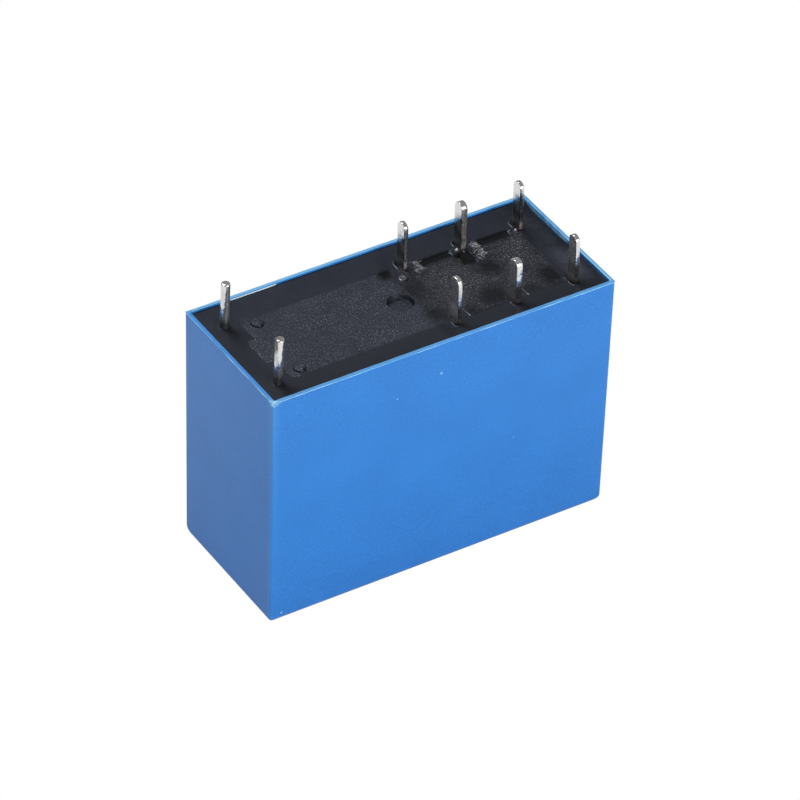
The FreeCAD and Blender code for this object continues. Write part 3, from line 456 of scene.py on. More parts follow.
def build_cover():
    """A box with draft: hollowed from the rim, rounded below, sharp up its corners."""
    add_box((0, 0, RIM / 2), (LENGTH, WIDTH, RIM), "cover_shell")
    pick("FACE", lambda p: p[:, 2].max() < TINY)
    scale(1 - 2 * DRAFT / LENGTH, 1 - 2 * DRAFT / WIDTH, 1)
    pick("FACE", lambda p: p[:, 2].min() > RIM - TINY)
    bpy.ops.mesh.inset(thickness=RIM_LINE * MM)
    bpy.ops.mesh.inset(thickness=(RIM_WALL - RIM_LINE) * MM)
    wall, depth, full = RIM_WALL, 0, RIM - CLOSED_WALL
    for row in (LIP_1, LIP_2, full - LIP_1 - LIP_2):
        depth += row
        thicker = RIM_WALL + depth / full * (WALL_GAIN + DRAFT)
        extrude(0, 0, -row)
        scale((LENGTH / 2 - thicker) / (LENGTH / 2 - wall),
              (WIDTH / 2 - thicker) / (WIDTH / 2 - wall), 1)
        wall = thicker
    pick("EDGE", lambda p: p[:, 2].max() < TINY)
    bevel(EDGE, 8)
    pick("EDGE", lambda p: up_outer_corner(p) and p[0, 0] > 0)
    bevel(CONTACT_CORNER, 5)
    pick("EDGE", lambda p: up_outer_corner(p) and p[0, 0] < 0)
    bevel(COIL_CORNER, 5)
    pick("EDGE", lambda p: up_corner(p) and off_wall(p).min() > RIM_WALL - TINY
         and p[:, 2].min() > CLOSED_WALL - TINY)
    bevel(INNER_CORNER, 2)
    pick("EDGE", lambda p: p[:, 2].min() > RIM - TINY and off_wall(p).min(1).max() < 0.04)
    bevel(RIM_EDGE, 3)
    # rows of points for the wear and the painted highlights: close at the front corner, the back
    # wall's highlight and the back edge
    cut_through("X", (*np.arange(-14.35, -13, 0.15), *np.arange(-13, 14.1, 0.5), -10.8, -10.6,
                      -7.3, -7.1))
    cut_through("Y", (*np.arange(-6.1, -5.5, 0.12), *np.arange(-5.4, 5.2, 0.5),
                      *np.arange(5.3, 6.05, 0.08)))
    cut_through("Z", (RIM - 0.08, RIM - 0.16, RIM - 0.26, RIM - 0.4))
    paint_cover_wear_and_highlights(close_piece(MATERIALS["blue_cover"], ["cover"], 50))


def paint_cover_wear_and_highlights(cover):
    """Paints where the blue is pale, from 0 to 1, where it is rubbed and as painted highlights,
    and shapes the worn rim and the closed face's edge along the back."""
    points = get_points(cover)
    x, y, z = points.T
    off = off_wall(points).min(1)
    rim_top = z > RIM - 0.07
    outer_line = rim_top * (off < 0.03)
    inner_line = (np.abs(off - RIM_WALL) < 0.04) * (z > RIM - 0.5)
    # the top of the rim as a painted highlight, paler at the back and less at the coil end, and
    # its outer edge, partly worn and partly a painted highlight, unevenly
    land_highlight = (0.2 - 0.1 * (x < -14) + 0.12 * (y > 5.8)) * rim_top * (off < RIM_WALL + 0.02)
    worn_and_highlit_edge = outer_line * np.clip(0.42 + 0.4 * wave(x, y, 2.3, 9, 4), 0.12, 0.8)
    # the burr on the front corner, and chips along the edges close to it
    away = np.linalg.norm((points - (-LENGTH / 2, -WIDTH / 2, RIM)) * (1, 1, 1.6), axis=1)
    burr = (off < RIM_WALL + 0.1) * np.exp(-(away / 0.45) ** 2)
    burr = burr * ramp(0.9 + 0.9 * wave(x + z, y - z, 0.45, 19))
    chips = 0.9 * outer_line * np.exp(-(away / 1.6) ** 2)
    burr = np.maximum(burr, chips * ramp(0.5 + wave(x, y, 0.55, 23)))
    # inside the rim, painted highlights: a pale strip on the back wall, and the lit inner wall and
    # edge at the contact end
    back_wall_highlight = inner_line * (y > 0) * (x > BACK_HIGHLIGHT_LEFT) * (x < BACK_HIGHLIGHT_RIGHT) * (z < RIM - 0.1)
    end_edge_highlight = 0.6 * inner_line * rim_top * (x > 14) * (y < 0)
    end_wall_highlight = inner_line * (x > 14) * (y > -0.3) * ramp(0.3 + 0.15 * wave(x, y, 0.9, 5))
    # a painted highlight up the front corner's vertical edge
    front_corner_highlight = 0.06 * (x < -LENGTH / 2 + 0.12) * (y < -WIDTH / 2 + 0.35) * (z < RIM - 0.3)
    paint(cover, "rubbed_and_highlit", np.max(
        [land_highlight, worn_and_highlit_edge, burr, back_wall_highlight, end_edge_highlight, end_wall_highlight, front_corner_highlight], 0))
    points[:, 2] += rim_top * 0.012 * (wave(x, y, 3.1, 5) - 1) - 0.12 * rim_top * burr
    run = np.clip(y - (WIDTH / 2 - DRAFT - BACK_EDGE), 0, BACK_EDGE)
    rounded = BACK_EDGE - np.sqrt(np.clip(BACK_EDGE ** 2 - run ** 2, 0, None))
    points[:, 2] = np.maximum(points[:, 2], rounded)
    # where two bevels meet at a corner they would stand proud of the walls
    half = np.array((LENGTH / 2, WIDTH / 2, RIM))
    set_points(cover, np.clip(points, -half * (1, 1, 0), half))


# Heights of the base's face and of the resin on it

def step(distance, soft):
    """1 well inside a shape, 0 well outside, with a soft edge in mm."""
    t = ramp(0.5 - distance / (2 * soft))
    return t * t * (3 - 2 * t)


def to_box(x, y, left, right, low, high, radius=0.0):
    """Signed distance to a rectangle with rounded corners, negative inside."""
    across = np.abs(x - (left + right) / 2) - (right - left) / 2 + radius
    up = np.abs(y - (low + high) / 2) - (high - low) / 2 + radius
    outside = np.hypot(np.maximum(across, 0), np.maximum(up, 0))
    return outside + np.minimum(np.maximum(across, up), 0) - radius


def to_disc(x, y, middle_x, middle_y, radius):
    """Signed distance to a disc, negative inside."""
    return np.hypot(x - middle_x, y - middle_y) - radius


def to_oval(x, y, middle_x, middle_y, half_x, half_y):
    """About the signed distance to an oval, negative inside."""
    reach = np.hypot((x - middle_x) / half_x, (y - middle_y) / half_y)
    return (reach - 1) * min(half_x, half_y)


def to_panel(x, y):
    """Signed distance to the panel's outline with its tab, negative inside."""
    body = to_box(x, y, PANEL_LEFT, PANEL_RIGHT, -PANEL_SIDE, PANEL_SIDE, 0.4)
    tab = to_box(x, y, PANEL_LEFT - TAB_LENGTH, PANEL_LEFT + 1, -TAB_SIDE, TAB_SIDE, 0.33)
    return np.minimum(body, tab)


# recesses of the panel: left, right, low, high, depth, corner radius. Resin has filled the
# second to the fourth.
RECESSES = (
    (0.29, 1.06, 2.87, 3.77, 0.05, 0.3),
    (3.54, 6.31, 3.0, 3.77, 0.05, 0.15),
    (8.7, 11.37, 3.0, 3.9, 0.05, 0.15),
    (6.39, 7.56, 1.5, 3.05, 0.06, 0.25),
    (3.56, 6.29, -3.77, -2.78, 0.02, 0.12),
    (8.62, 11.29, -3.76, -2.76, 0.02, 0.12),
)
# blotches where resin has filled the panel's grain, darkened further as painted shade in
# shallow hollows: middle x and y, half length and width, and how dark it is
BLOTCHES = (
    (1.69, 0.92, 1.0, 1.5, 0.6), (0.68, 3.3, 0.65, 0.7, 1.0), (4.9, 3.38, 1.5, 0.5, 0.95),
    (10.0, 3.44, 1.5, 0.55, 0.95), (7.0, 2.35, 0.75, 1.1, 1.0), (7.95, 0.5, 1.0, 0.95, 0.75),
    (1.65, -2.5, 0.9, 1.0, 0.6), (4.0, -3.3, 0.7, 0.5, 0.8), (6.3, -2.6, 1.2, 1.1, 0.7),
    (9.35, -3.2, 0.7, 0.5, 0.7), (11.3, -2.5, 0.85, 1.25, 0.8), (11.95, 2.4, 0.3, 0.7, 0.6),
    (2.6, -1.2, 0.5, 0.4, 0.25),
)
# light dust in the grain of the coil side: middle x and y, half length and width
DUST = ((-2.9, -2.7, 1.6, 1.0), (-9.0, -3.4, 2.2, 0.5), (-11.6, 0.0, 0.5, 1.5),
        (-6.5, 0.8, 1.5, 0.6), (-2.0, 1.5, 1.5, 0.8), (10.2, 0.6, 1.2, 1.6), (4.2, 0.6, 1.0, 1.6))
BLADES = [(x, y) for y in (-ROW, ROW) for x in (NC_X, COMMON_X, NO_X)]
PINS = [(COIL_X, -ROW), (COIL_X, ROW)]
# the round marks by the coil pins: middle x and y, and radius
BUTTONS, BUTTON_RADIUS = ((-10.41, 2.87), (-10.45, -3.11)), 0.48
# the moon-shaped recess: middle x and y, and radius
MOON = (-0.06, -0.02, 0.98)
# creases in the resin, right of the rear blades, where light strokes are painted highlights:
# corners x and y
SCRAPES = (((3.25, 4.0), (3.7, 3.9), (3.7, 2.2), (2.75, 2.15)),
           ((8.1, 3.7), (8.66, 3.8), (8.7, 1.5), (7.45, 1.4)))
# how light the strokes are in each crease, how many there are, and the two ways that they
# run, in radians from +X
CREASE_STROKE_LIGHT, STROKES, STROKE_TURNS = (0.75, 1.0), 50, (-1.1, 0.2)
# thin light scratches right of the front blades: two ends in x and y, and how light each is
SCRATCHES = ((3.5, -2.75, 3.56, -3.72, 0.8), (8.54, -2.85, 8.58, -3.7, 0.8))
# light spots by the rear blades, partly painted highlights on the resin's lumps: middle x
# and y, radius, and how solid they are
SPOTS = ((6.86, 3.42, 0.1, 1.0), (7.28, 3.04, 0.04, 1.0), (11.92, 3.3, 0.08, 1.0),
         (11.52, 3.5, 0.03, 0.8), (1.62, 2.5, 0.3, 0.2), (5.3, 2.0, 0.03, 1.0))


def face_level(x):
    """The panel without its marks: it is 0.1 mm lower on the contact side."""
    return PANEL - 0.1 * step(PANEL_SPLIT - x, 0.6)


def base_height(x, y):
    """The face of the base, without its grain."""
    face = face_level(x)
    for middle_x, middle_y in BUTTONS:
        out = to_disc(x, y, middle_x, middle_y, BUTTON_RADIUS)
        face = face + 0.17 * step(out, 0.07) + 0.05 * step(out + 0.25, 0.25)
    face = face - 0.45 * step(to_disc(x, y, *MOON), 0.06)
    for *sides, depth, radius in RECESSES:
        face = face - depth * step(to_box(x, y, *sides, radius), 0.15)
    panel = step(to_panel(x, y) - 0.2, 0.12)
    return CHANNEL + (face - CHANNEL) * panel


def border_height(x, y):
    """The resin in the channel: level with the panel's edge, higher at the two far walls,
    and low at two places that it wetted less."""
    low_end = step(-0.1 - y + 0.1 * wave(x, y, 0.9, 51), 0.9) * step(y - 5.3, 0.25)
    low_end = low_end * (0.8 + 0.2 * step(3.4 - y, 0.1))
    low_back = step(to_box(x, y, -10.9, -7.3, 4, 7, 0.3), 0.8)
    climb_y = (0.24 - 0.037 * low_back) * ramp(y - 3.9, 2) ** 1.3
    climb_x = 0.16 * (1 - low_end) * ramp(x - 12.2, 2) ** 1.3
    away = step(1.0 - to_panel(x, y), 1.0)
    height = face_level(x) + 0.008 + (RESIN - 0.03 - face_level(x)) * away
    height = height + np.hypot(climb_x, climb_y)
    return height + 0.008 * wave(x, y, 4.0, 41) * away + 0.002 * wave(x, y, 0.9, 43)


def to_corners(x, y, corners):
    """Signed distance to a convex shape whose corners run clockwise, negative inside."""
    reach = np.full(len(x), -9.0)
    for (x1, y1), (x2, y2) in zip(corners, corners[1:] + corners[:1]):
        side = (x - x1) * (y1 - y2) + (y - y1) * (x2 - x1)
        reach = np.maximum(reach, side / math.hypot(x2 - x1, y2 - y1))
    return reach


def creased(x, y):
    """The two places beside the rear blades where the resin was scraped as it set."""
    return np.maximum(*(step(to_corners(x, y, corners) + 0.08 * wave(x, y, 0.6, 77), 0.1)
                        for corners in SCRAPES))


def strokes():
    """The thin scratches by the front blades, and the light strokes that cross on the creases
    by the rear blades, painted highlights: two ends in x and y, and how light each is."""
    yield from SCRATCHES
    picker = np.random.default_rng(12)
    for corners, light in zip(SCRAPES, CREASE_STROKE_LIGHT):
        near_1, near_2, far_2, far_1 = np.array(corners)
        for number in range(STROKES):
            across, down, turn = picker.uniform(0.1, 0.9, 3)
            middle = (near_1 * (1 - across) + near_2 * across) * (1 - down) + (
                far_1 * (1 - across) + far_2 * across) * down
            angle = STROKE_TURNS[number % 2] + 1.2 * (turn - 0.5)
            reach = picker.uniform(0.08, 0.3) * np.array((math.cos(angle), math.sin(angle)))
            yield (*(middle - reach), *(middle + reach), light * picker.uniform(0.1, 1.0) ** 1.3)


def chalk_and_highlights(x, y):
    """Where the resin is painted light: its scratches, and painted highlights on its creases
    and lumps.
    """
    share = 0.05 * creased(x, y)
    for x1, y1, x2, y2, light in strokes():
        run = (x2 - x1) ** 2 + (y2 - y1) ** 2
        along = ramp((x - x1) * (x2 - x1) + (y - y1) * (y2 - y1), run)
        line = np.hypot(x - x1 - along * (x2 - x1), y - y1 - along * (y2 - y1))
        share = np.maximum(share, light * np.exp(-(line / 0.03) ** 2))
    for middle_x, middle_y, radius, strong in SPOTS:
        share = np.maximum(share, strong * step(to_disc(x, y, middle_x, middle_y, radius), 0.1))
    return share


# lumps of resin by the feet of the rear blades: middle x and y, half length and width
LUMPS = ((1.7, 2.4, 0.42, 0.5), (6.86, 3.42, 0.14, 0.2), (7.27, 3.04, 0.08, 0.08),
         (11.93, 3.32, 0.16, 0.2), (11.55, 3.48, 0.1, 0.1))
# how far the resin's face stays under the panel where none ran onto it, and how far it rises
# from there where some did
SUNK, RISE = 0.08, 0.1


def resin_height(x, y):
    """The face of the resin: the border, what ran onto the panel, and the feet of the pins."""
    clean = base_height(x, y) - SUNK
    creases = np.abs(wave(x * 1.7 + y, y - 0.8 * x, 0.42, 73, 2)) ** 0.6
    run_on = clean + creased(x, y) * (RISE + 0.02 * creases)
    run_on = np.maximum(run_on, clean + RISE * ramp(2 * chalk_and_highlights(x, y)))
    soft = 0.12 + 0.33 * ramp(x + 11)
    inset = step(to_panel(x, y) + soft + 0.1 * (soft - 0.1) * wave(x, y, 0.8, 57), soft)
    height = border_height(x, y) * (1 - inset) + run_on * inset
    # resin has crept up about each blade, and drawn back behind it
    for middle_x, middle_y in BLADES:
        out = to_box(x, y, middle_x - THICK / 2, middle_x + THICK / 2, middle_y - BLADE / 2,
                     middle_y + BLADE / 2, 0.05)
        pool = PANEL - 0.1 + 0.1 * np.exp(-np.clip(out, 0, 9) / 0.1)
        around = step(out - 0.12 + 0.12 * wave(x, y, 0.7, 71), 0.16) * inset
        height = height * (1 - around) + np.maximum(pool, run_on) * around
        nick = to_box(x, y, middle_x - 0.3, middle_x - 0.12, middle_y - 0.55, middle_y + 0.5, 0.06)
        height = height - 0.22 * step(nick, 0.05)
        height = height + 0.05 * np.exp(-((nick - 0.1) / 0.04) ** 2) * (x < middle_x)
    for oval in LUMPS:
        height = height + 0.1 * step(to_oval(x, y, *oval), 0.14)
    for middle_x, middle_y in PINS:
        out = to_disc(x, y, middle_x, middle_y, PIN_RADIUS)
        height = height + 0.03 * np.exp(-np.clip(out, 0, 9) / 0.06)
    return height


def blotches_and_shade(x, y):
    """How dark the blotches are, and the recesses that hold resin, partly from resin and partly
    as painted shade, with painted shade on the buttons' near sides.
    """
    share = np.zeros(len(x))
    # painted shade: a dark crescent on each button's near side
    for middle_x, middle_y in BUTTONS:
        ring = np.exp(-(to_disc(x, y, middle_x, middle_y, 0.46) / 0.07) ** 2)
        near = ramp((middle_x - x) * 0.5 + (middle_y - y) * 0.87, 0.3)
        share = np.maximum(share, ring * near)
    for number, (*oval, dark) in enumerate(BLOTCHES):
        ragged = to_oval(x, y, *oval) + 0.2 * wave(x, y, 0.9, 89 + number)
        share = np.maximum(share, dark * step(ragged, 0.6))
    # the recesses that hold resin: darker for the resin and as painted shade
    for *sides, _, radius in RECESSES[1:4]:
        ragged = to_box(x, y, *sides, radius) + 0.05 * wave(x, y, 0.5, 91)
        share = np.maximum(share, 0.95 * step(ragged, 0.1))
    return share


def coil_pin_shadows(x, y):
    """Painted shadows on the resin from the feet of the coil pins, towards +X and -Y."""
    share = np.zeros(len(x))
    for middle_x, middle_y in PINS:
        along = to_oval(x, y, middle_x + 0.35, middle_y - 1.1, 0.5, 1.1)
        share = np.maximum(share, 0.3 * step(along, 0.4))
    return share


def steepness(x, y, reach=0.03):
    """The slope of the base's face, as rise over run."""
    slope_x = base_height(x + reach, y) - base_height(x - reach, y)
    slope_y = base_height(x, y + reach) - base_height(x, y - reach)
    return np.hypot(slope_x, slope_y) / (2 * reach)


def sealed(x, y):
    """How far resin has filled the panel's grain: here and there, in blotches, at the
    panel's edges and on steep walls."""
    share = 0.5 * ramp(wave(x, y, 2.2, 83))
    share = np.maximum(share, 1.2 * blotches_and_shade(x, y))
    fringe = step(-to_panel(x, y) - 0.25 + 0.12 * wave(x, y, 1.1, 37), 0.3) * (np.abs(y) > 2)
    share = np.maximum(share, 0.8 * fringe * (x > PANEL_LEFT + 0.7))
    return ramp(np.maximum(share, steepness(x, y) - 0.8))


def dust_and_edge_highlight(x, y):
    """Where the panel's grain looks lighter: under dust, and along the tab's outline as a
    painted highlight.
    """
    share = np.zeros(len(x))
    for number, oval in enumerate(DUST):
        ragged = to_oval(x, y, *oval) + 0.3 * wave(x, y, 1.2, 61 + number)
        share = np.maximum(share, 0.6 * step(ragged, 0.8))
    # a painted highlight along the tab's outline
    outline = np.exp(-((to_panel(x, y) + 0.12) / 0.07) ** 2) * (x < PANEL_LEFT + 0.9)
    return share + 1.3 * outline


def wetness(x, y):
    """Where the resin's face is glossy: in blotches and recesses, on its creases and its
    lumps, at the contact end and at the blades' feet."""
    wet = np.maximum(creased(x, y), blotches_and_shade(x, y) * step(to_panel(x, y) + 0.1, 0.1))
    wet = np.maximum(wet, 0.5 * step(12.2 - x, 0.8))
    for oval in LUMPS:
        wet = np.maximum(wet, step(to_oval(x, y, *oval), 0.2))
    for middle_x, middle_y in BLADES:
        wet = np.maximum(wet, 0.7 * step(to_disc(x, y, middle_x - 0.1, middle_y, 0.5), 0.25))
    return wet


# Where the sheets' grids are close enough to show small features.
FINE_X = ((-14.2, -13.9), (-12.5, -9.8), (-1.15, 3.95), (6.2, 9.0), (11.4, 13.0), (13.9, 14.2))
FINE_Y = ((-5.9, -5.7), (-4.4, -2.4), (-1.15, 1.1), (1.3, 4.4), (5.6, 5.9))


def grid_lines(half, bands, coarse=0.1, fine=0.05):
    """Places of a grid's lines from -half to half, closer together in the bands."""
    lines = [-half]
    while lines[-1] < half - fine:
        close = any(low < lines[-1] + fine < high for low, high in bands)
        lines.append(lines[-1] + (fine if close else coarse))
    lines[-1] = half
    return np.array(lines)


def add_sheet(name, half_x, half_y, height, floor):
    """A grid raised to a height over each point, with walls down to a floor that closes it."""
    lines_x, lines_y = grid_lines(half_x, FINE_X), grid_lines(half_y, FINE_Y)
    bpy.ops.object.select_all(action="DESELECT")
    bpy.ops.mesh.primitive_grid_add(x_subdivisions=len(lines_x) - 1,
                                    y_subdivisions=len(lines_y) - 1, size=1)
    sheet = bpy.context.object
    sheet.name = sheet.data.name = name
    share = get_points(sheet) * MM + 0.5
    x = lines_x[np.rint(share[:, 0] * (len(lines_x) - 1)).astype(int)]
    y = lines_y[np.rint(share[:, 1] * (len(lines_y) - 1)).astype(int)]
    set_points(sheet, np.column_stack([x, y, height(x, y)]))
    bpy.ops.object.mode_set(mode="EDIT")
    bpy.ops.mesh.select_all(action="DESELECT")
    bpy.ops.mesh.select_mode(type="EDGE")
    bpy.ops.mesh.select_non_manifold()
    extrude(0, 0, 0)
    scale(1, 1, 0, (0, 0, floor))
    bpy.ops.mesh.edge_face_add()
    return sheet


def build_base():
    """The moulded base with its marks, its plate's underside and the barrier below it."""
    gap = RIM_WALL + BASE_GAP
    add_sheet("base_moulding", LENGTH / 2 - gap, WIDTH / 2 - gap, base_height, UNDER)
    top = UNDER + 2 * LAP
    add_box(((BARRIER_LEFT + BARRIER_RIGHT) / 2, 0, (BARRIER_FOOT + top) / 2),
            (BARRIER_RIGHT - BARRIER_LEFT, BARRIER_THICK, top - BARRIER_FOOT))
    pick("EDGE", lambda p: np.ptp(p[:, 2]) > 10)
    bevel(BARRIER_EDGE, 3)
    base = close_piece(MATERIALS["black_base"], ["base"], 60)
    x, y, _ = get_points(base).T
    paint(base, "sealed", sealed(x, y))
    # darker in blotches, partly resin and partly painted shade, and on the contact side
    paint(base, "stain_and_shade", np.maximum(blotches_and_shade(x, y), 0.6 * step(PANEL_SPLIT - x, 0.8)))
    paint(base, "dust_and_edge_highlight", dust_and_edge_highlight(x, y))


def build_resin():
    """The resin: one sheet over the whole base, sunk under the panel where it stayed clean."""
    gap = RIM_WALL + RESIN_GAP
    add_sheet("resin_fill", LENGTH / 2 - gap, WIDTH / 2 - gap, resin_height, RESIN_FOOT)
    resin = close_piece(MATERIALS["sealing_resin"], ["sealing_resin"], 60)
    x, y, _ = get_points(resin).T
    paint(resin, "wet", wetness(x, y))
    # painted shade in the blotches, and painted shadows from the coil pins
    paint(resin, "stain_and_shade", np.maximum(blotches_and_shade(x, y), coil_pin_shadows(x, y)))
    paint(resin, "chalk_and_highlight", chalk_and_highlights(x, y))


# Terminals

def lean_pin(piece, lean_x, lean_y, shorter):
    """Leans a pin above the resin, and draws its tip down to its own height."""
    points = get_points(piece)
    rise = ramp(points[:, 2] - RESIN, TIP - RESIN)
    points += np.column_stack([lean_x * rise, lean_y * rise, -shorter * rise])
    set_points(piece, points)
    return points


def on_narrow_face(points, y):
    """Whether points are on one of a blade's two narrow faces."""
    return np.abs(points[:, 1] - y) > BLADE / 2 - 0.08


def bared(points, x, y, node):
    """Where a blade's copper shows: round its foot, and in smears up one narrow face."""
    height = points[:, 2] - RESIN
    narrow = on_narrow_face(points, y)
    foot = ramp(0.25 - height, 0.2) * (height > -0.4)
    share = (0.35 + 0.45 * (narrow if y > 0 else points[:, 0] < x)) * foot
    if node == "common_terminal_2":
        smeared = narrow * (points[:, 1] < y) * (height > 0.9) * ramp(2.6 - height, 0.3)
        share = np.maximum(share, smeared * np.clip(
            0.45 + wave(points[:, 2], 3 * points[:, 0], 0.8, 3), 0, 0.7))
    return share


# the painted dark reflection on the blades' narrow faces, on each rear blade and on the
# front ones: how dark, and its lowest and highest place over the resin
NARROW_REFLECTION = {"nc_terminal_2": (0.6, 0.3, 3.4), "no_terminal_2": (0.8, 0.35, 3.2),
               "common_terminal_2": (0.4, 0.3, 3.0)}
FRONT_NARROW_REFLECTION = (0.7, -1.0, 1.6)


def reflection_and_film(points, x, y, thick, node):
    """Where a blade is painted dark, as a reflection of the dark resin: up its broad -X face in
    streaks, and on its narrow -Y face."""
    rear = y > 0
    height = points[:, 2] - RESIN
    top = 2.6 - 0.7 * (points[:, 1] - y) if rear else 3.2
    streak = 0.75 + 0.25 * wave(4 * points[:, 1], points[:, 2], 1.2, 13)
    broad = points[:, 0] < x - thick / 2 + 0.03
    share = streak * (1.0 if rear else 0.45) * ramp(top - height, 0.3) * broad
    dark, low, high = NARROW_REFLECTION.get(node, FRONT_NARROW_REFLECTION)
    narrow = on_narrow_face(points, y) * (points[:, 1] < y)
    return np.maximum(share, dark * narrow * ramp(high - height, 0.4) * ramp(height - low, 0.3))


def coil_pin_film_and_reflection(points, x, y, node):
    """Where a coil pin is dark: a film of resin on its foot, and a painted dark reflection up the
    front one's left side.
    """
    share = 0.7 * ramp(0.9 + RESIN - points[:, 2], 0.5)
    if node == "coil_terminal_1":
        left = 0.84 * (points[:, 0] - x) - 0.54 * (points[:, 1] - y) < 0.02
        share = np.maximum(share, left * np.clip(
            0.3 + 0.8 * wave(5 * points[:, 0], points[:, 2], 0.7, 21), 0, 0.85))
    return share


def close_terminal(x, y, thick, node, lean):
    """Ends work on an open pin: leans it, and paints its bare copper, its film and its painted
    dark reflections.
    """
    pin = close_piece(MATERIALS["tinned_copper"], [node], 40)
    points = lean_pin(pin, *lean)
    if "coil" in node:
        paint(pin, "bare", np.zeros(len(points)))
        paint(pin, "reflection_and_film", coil_pin_film_and_reflection(points, x, y, node))
    else:
        paint(pin, "bare", bared(points, x, y, node))
        paint(pin, "reflection_and_film", reflection_and_film(points, x, y, thick, node))


def cut_rows(foot):
    """Rows of points up a pin, closer near its foot."""
    cut_through("Z", (*np.arange(foot, RESIN + 0.6, 0.1), *np.arange(RESIN + 0.8, TIP - 0.5, 0.3)))


def build_blade(name, x, y, thick):
    """A flat pin with a round end and softened edges, and its strip inside the cover."""
    foot = UNDER - BURIED
    add_box((x, y, (foot + TIP) / 2), (thick, BLADE, TIP - foot), name)
    pick("EDGE", lambda p: p[:, 2].min() > TIP - TINY and np.ptp(p[:, 1]) < TINY)
    bevel(0.49 * BLADE, 12)
    pick("EDGE", lambda p: np.ptp(p[:, 0]) < TINY)
    bevel(PIN_EDGE, 3)
    cut_rows(RESIN - BURIED)
    cut_through("Y", (y - 0.4, y + 0.4))
    top = UNDER - STRIP_GAP
    if x == COMMON_X:
        add_box((x, y, (COMMON_FOOT + top) / 2), (thick, 2 * STRIP_SIDE, top - COMMON_FOOT))
    else:
        side = 1 if x == NC_X else -1
        run = STRIP_FAR + THICK / 2
        add_box((x + side * (run / 2 - THICK / 2), y, top - THICK / 2),
                (run, 2 * STRIP_SIDE, THICK))
        cut((x + side * STRIP_NEAR, 0, 0), (1, 0, 0))
        pick("FACE", lambda p: abs(p[:, 2] - top + THICK).max() < TINY
             and (side * (p[:, 0] - x)).min() > STRIP_NEAR - TINY)
        extrude(0, 0, STRIP_FOOT + THICK - top)
    pick("EDGE", lambda p: np.ptp(p[:, 1]) > 2.5)
    bevel(STRIP_EDGE, 3)


# how each pin leans at its tip towards +X and +Y, and how much shorter it stands
LEANS = {
    "coil_1": (0.12, 0.0, 0.05), "coil_2": (0.09, 0.0, 0.04),
    "nc_1": (-0.08, 0.0, 0.16), "common_1": (0.0, 0.0, 0.42), "no_1": (0.0, 0.0, 0.07),
    "nc_2": (0.0, 0.0, 0.1), "common_2": (0.0, 0.0, 0.09), "no_2": (0.0, 0.0, 0.06),
}


def build_coil_pin(name, x, y, thick):
    """A round tinned pin with a blunt end, on the square post that the coil wire wraps."""
    foot = RESIN - BURIED
    add_shape(bpy.ops.mesh.primitive_cylinder_add, (x, y, (foot + TIP) / 2), name,
              vertices=28, radius=thick / 2 * MM, depth=(TIP - foot) * MM)
    pick("EDGE", lambda p: p[:, 2].min() > TIP - TINY)
    bevel(BLUNT, 4)
    cut_rows(foot + LAP)
    add_box((x, y, (POST_FOOT + foot + LAP) / 2), (POST, POST, foot + LAP - POST_FOOT))
    pick("EDGE", lambda p: np.ptp(p[:, 2]) > 5)
    bevel(PIN_EDGE, 2)


def build_terminals():
    """Each kind of pin is modelled in the front row and copied to the rear row."""
    for kind, build, x, thick in (
            ("coil", build_coil_pin, COIL_X, 2 * PIN_RADIUS), ("nc", build_blade, NC_X, PIN_THICK),
            ("common", build_blade, COMMON_X, COMMON_THICK), ("no", build_blade, NO_X, PIN_THICK)):
        build(f"{kind}_pin_1", x, -ROW, thick)
        front = bpy.context.object
        copy_open_piece(f"{kind}_pin_2", 0, 2 * ROW, 0)
        close_terminal(x, ROW, thick, f"{kind}_terminal_2", LEANS[f"{kind}_2"])
        select_piece(front)
        close_terminal(x, -ROW, thick, f"{kind}_terminal_1", LEANS[f"{kind}_1"])


build_cover()
build_base()
build_resin()
build_terminals()


# Floor, light and camera

def build_floor():
    """A pale sweep. Rays from the camera and mirror rays see it evenly lit, as in a light
    tent, and mirror rays see it a little darker close to the relay, as painted shade."""
    bpy.ops.object.select_all(action="DESELECT")
    bpy.ops.mesh.primitive_plane_add(size=6)
    floor = bpy.context.object
    floor.name = floor.data.name = "floor"
    material = bpy.data.materials.new("paper_white")
    material.use_nodes = True
    tree = material.node_tree
    tree.nodes.remove(tree.nodes["Principled BSDF"])
    paper = add(tree, "ShaderNodeBsdfDiffuse", {"Color": linear("F2F2F0")})
    camera_ray = add(tree, "ShaderNodeLightPath", out="Is Camera Ray")
    glossy_ray = add(tree, "ShaderNodeLightPath", out="Is Glossy Ray")
    seen = add(tree, MATH, {0: camera_ray, 1: glossy_ray}, operation="MAXIMUM")
    place = add(tree, "ShaderNodeTexCoord", out="Object")
    reach = add(tree, "ShaderNodeMapping", {
        "Vector": place, "Scale": (2 / (LENGTH * MM), 2 / (WIDTH * MM), 0)})
    away = add(tree, "ShaderNodeVectorMath", {0: reach}, operation="LENGTH", out="Value")
    # painted shade: mirror rays see the floor darker close to the relay, like a contact shadow
    shade = add(tree, "ShaderNodeMapRange", {"Value": away, "From Min": 1.0, "From Max": 4.0,
                                             "To Min": 0.5, "To Max": 0.9})
    level = add(tree, MATH, {0: shade, 1: camera_ray}, operation="MAXIMUM")
    glow = add(tree, "ShaderNodeEmission", {"Strength": level, "Color": (1, 1, 1, 1)})
    surface = add(tree, "ShaderNodeMixShader", {0: seen, 1: paper, 2: glow})
    tree.links.new(surface, tree.nodes["Material Output"].inputs["Surface"])
    floor.data.materials.append(material)


def build_light(name, place, size, power):
    """A soft box at a place in mm, turned to the relay's middle."""
    lamp = bpy.data.lights.new(name, "AREA")
    lamp.shape = "RECTANGLE"
    lamp.size, lamp.size_y = (side * MM for side in size)
    lamp.energy = power
    lamp_object = bpy.data.objects.new(name, lamp)
    bpy.context.scene.collection.objects.link(lamp_object)
    lamp_object.location = Vector(place) * MM
    aim = Vector((0, 0, 12)) * MM - lamp_object.location
    lamp_object.rotation_mode = "QUATERNION"
    lamp_object.rotation_quaternion = aim.to_track_quat("-Z", "Y")


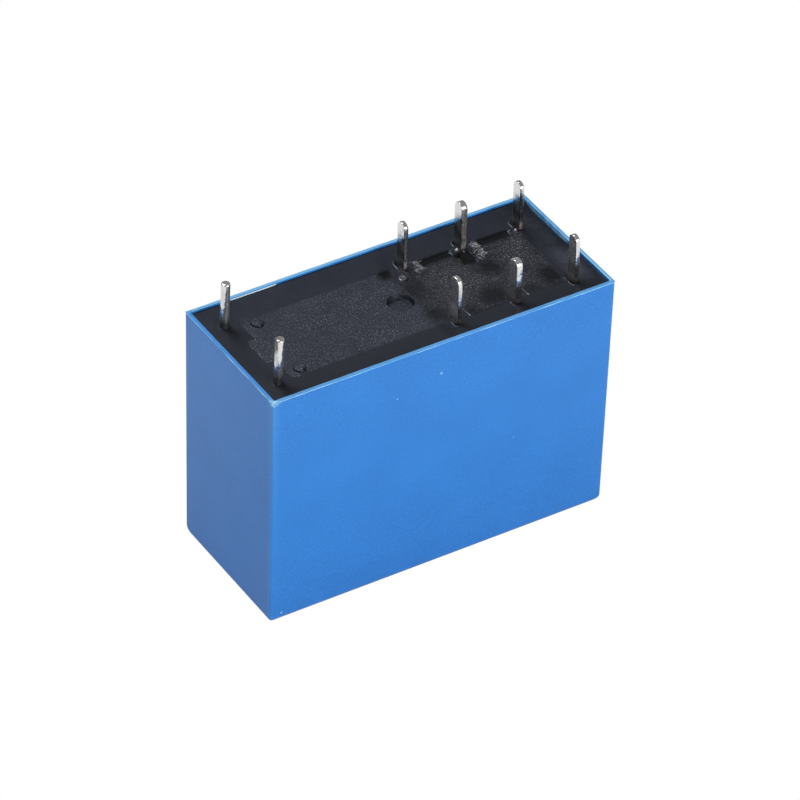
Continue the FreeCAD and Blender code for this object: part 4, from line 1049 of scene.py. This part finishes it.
def build_world():
    """White to the camera, and a weak even fill for everything else."""
    world = bpy.data.worlds.new("studio")
    bpy.context.scene.world = world
    world.use_nodes = True
    tree = world.node_tree
    camera_ray = add(tree, "ShaderNodeLightPath", out="Is Camera Ray")
    level = add(tree, "ShaderNodeMapRange", {"Value": camera_ray, "To Min": 0.2, "To Max": 1.0})
    tree.nodes["Background"].inputs["Color"].default_value = (1, 1, 1, 1)
    tree.links.new(level, tree.nodes["Background"].inputs["Strength"])


# the camera that was fitted to the photograph's outline of the relay: its azimuth, elevation
# and roll in degrees, its place back, right and up from the middle, and its focal length as a
# share of the picture's width
AZIMUTH, ELEVATION, ROLL = -32.881, 38.259, 1.949
BACK, RIGHT, UP = 426.279, 0.44, 8.709
FOCAL_SHARE, SENSOR = 5719.3 / 800, 36


def build_camera():
    """A camera that stands back from the relay and is turned about its own axis."""
    azimuth, elevation, roll = (math.radians(a) for a in (AZIMUTH, ELEVATION, ROLL))
    back = Vector((math.sin(azimuth) * math.cos(elevation),
                   -math.cos(azimuth) * math.cos(elevation), math.sin(elevation)))
    right = Vector((0, 0, 1)).cross(back).normalized()
    up = back.cross(right)
    turned_right = right * math.cos(roll) + up * math.sin(roll)
    turned_up = up * math.cos(roll) - right * math.sin(roll)
    camera = bpy.data.cameras.new("camera")
    camera.sensor_width = SENSOR
    camera.lens = FOCAL_SHARE * SENSOR
    camera.clip_start, camera.clip_end = 0.01, 20
    camera_object = bpy.data.objects.new("camera", camera)
    bpy.context.scene.collection.objects.link(camera_object)
    place = (back * BACK + turned_right * RIGHT + turned_up * UP) * MM
    camera_object.matrix_world = Matrix.Translation(place) @ Matrix(
        (turned_right, turned_up, back)).transposed().to_4x4()
    bpy.context.scene.camera = camera_object


build_floor()
build_light("soft_box_front", (80, -460, 170), (360, 200), 1.88)
build_light("soft_box_top", (-60, 225, 450), (200, 200), 1.6)
build_light("soft_box_left", (-430, -60, 160), (260, 260), 0.26)
build_world()
build_camera()
bpy.context.scene.view_settings.view_transform = "Standard"
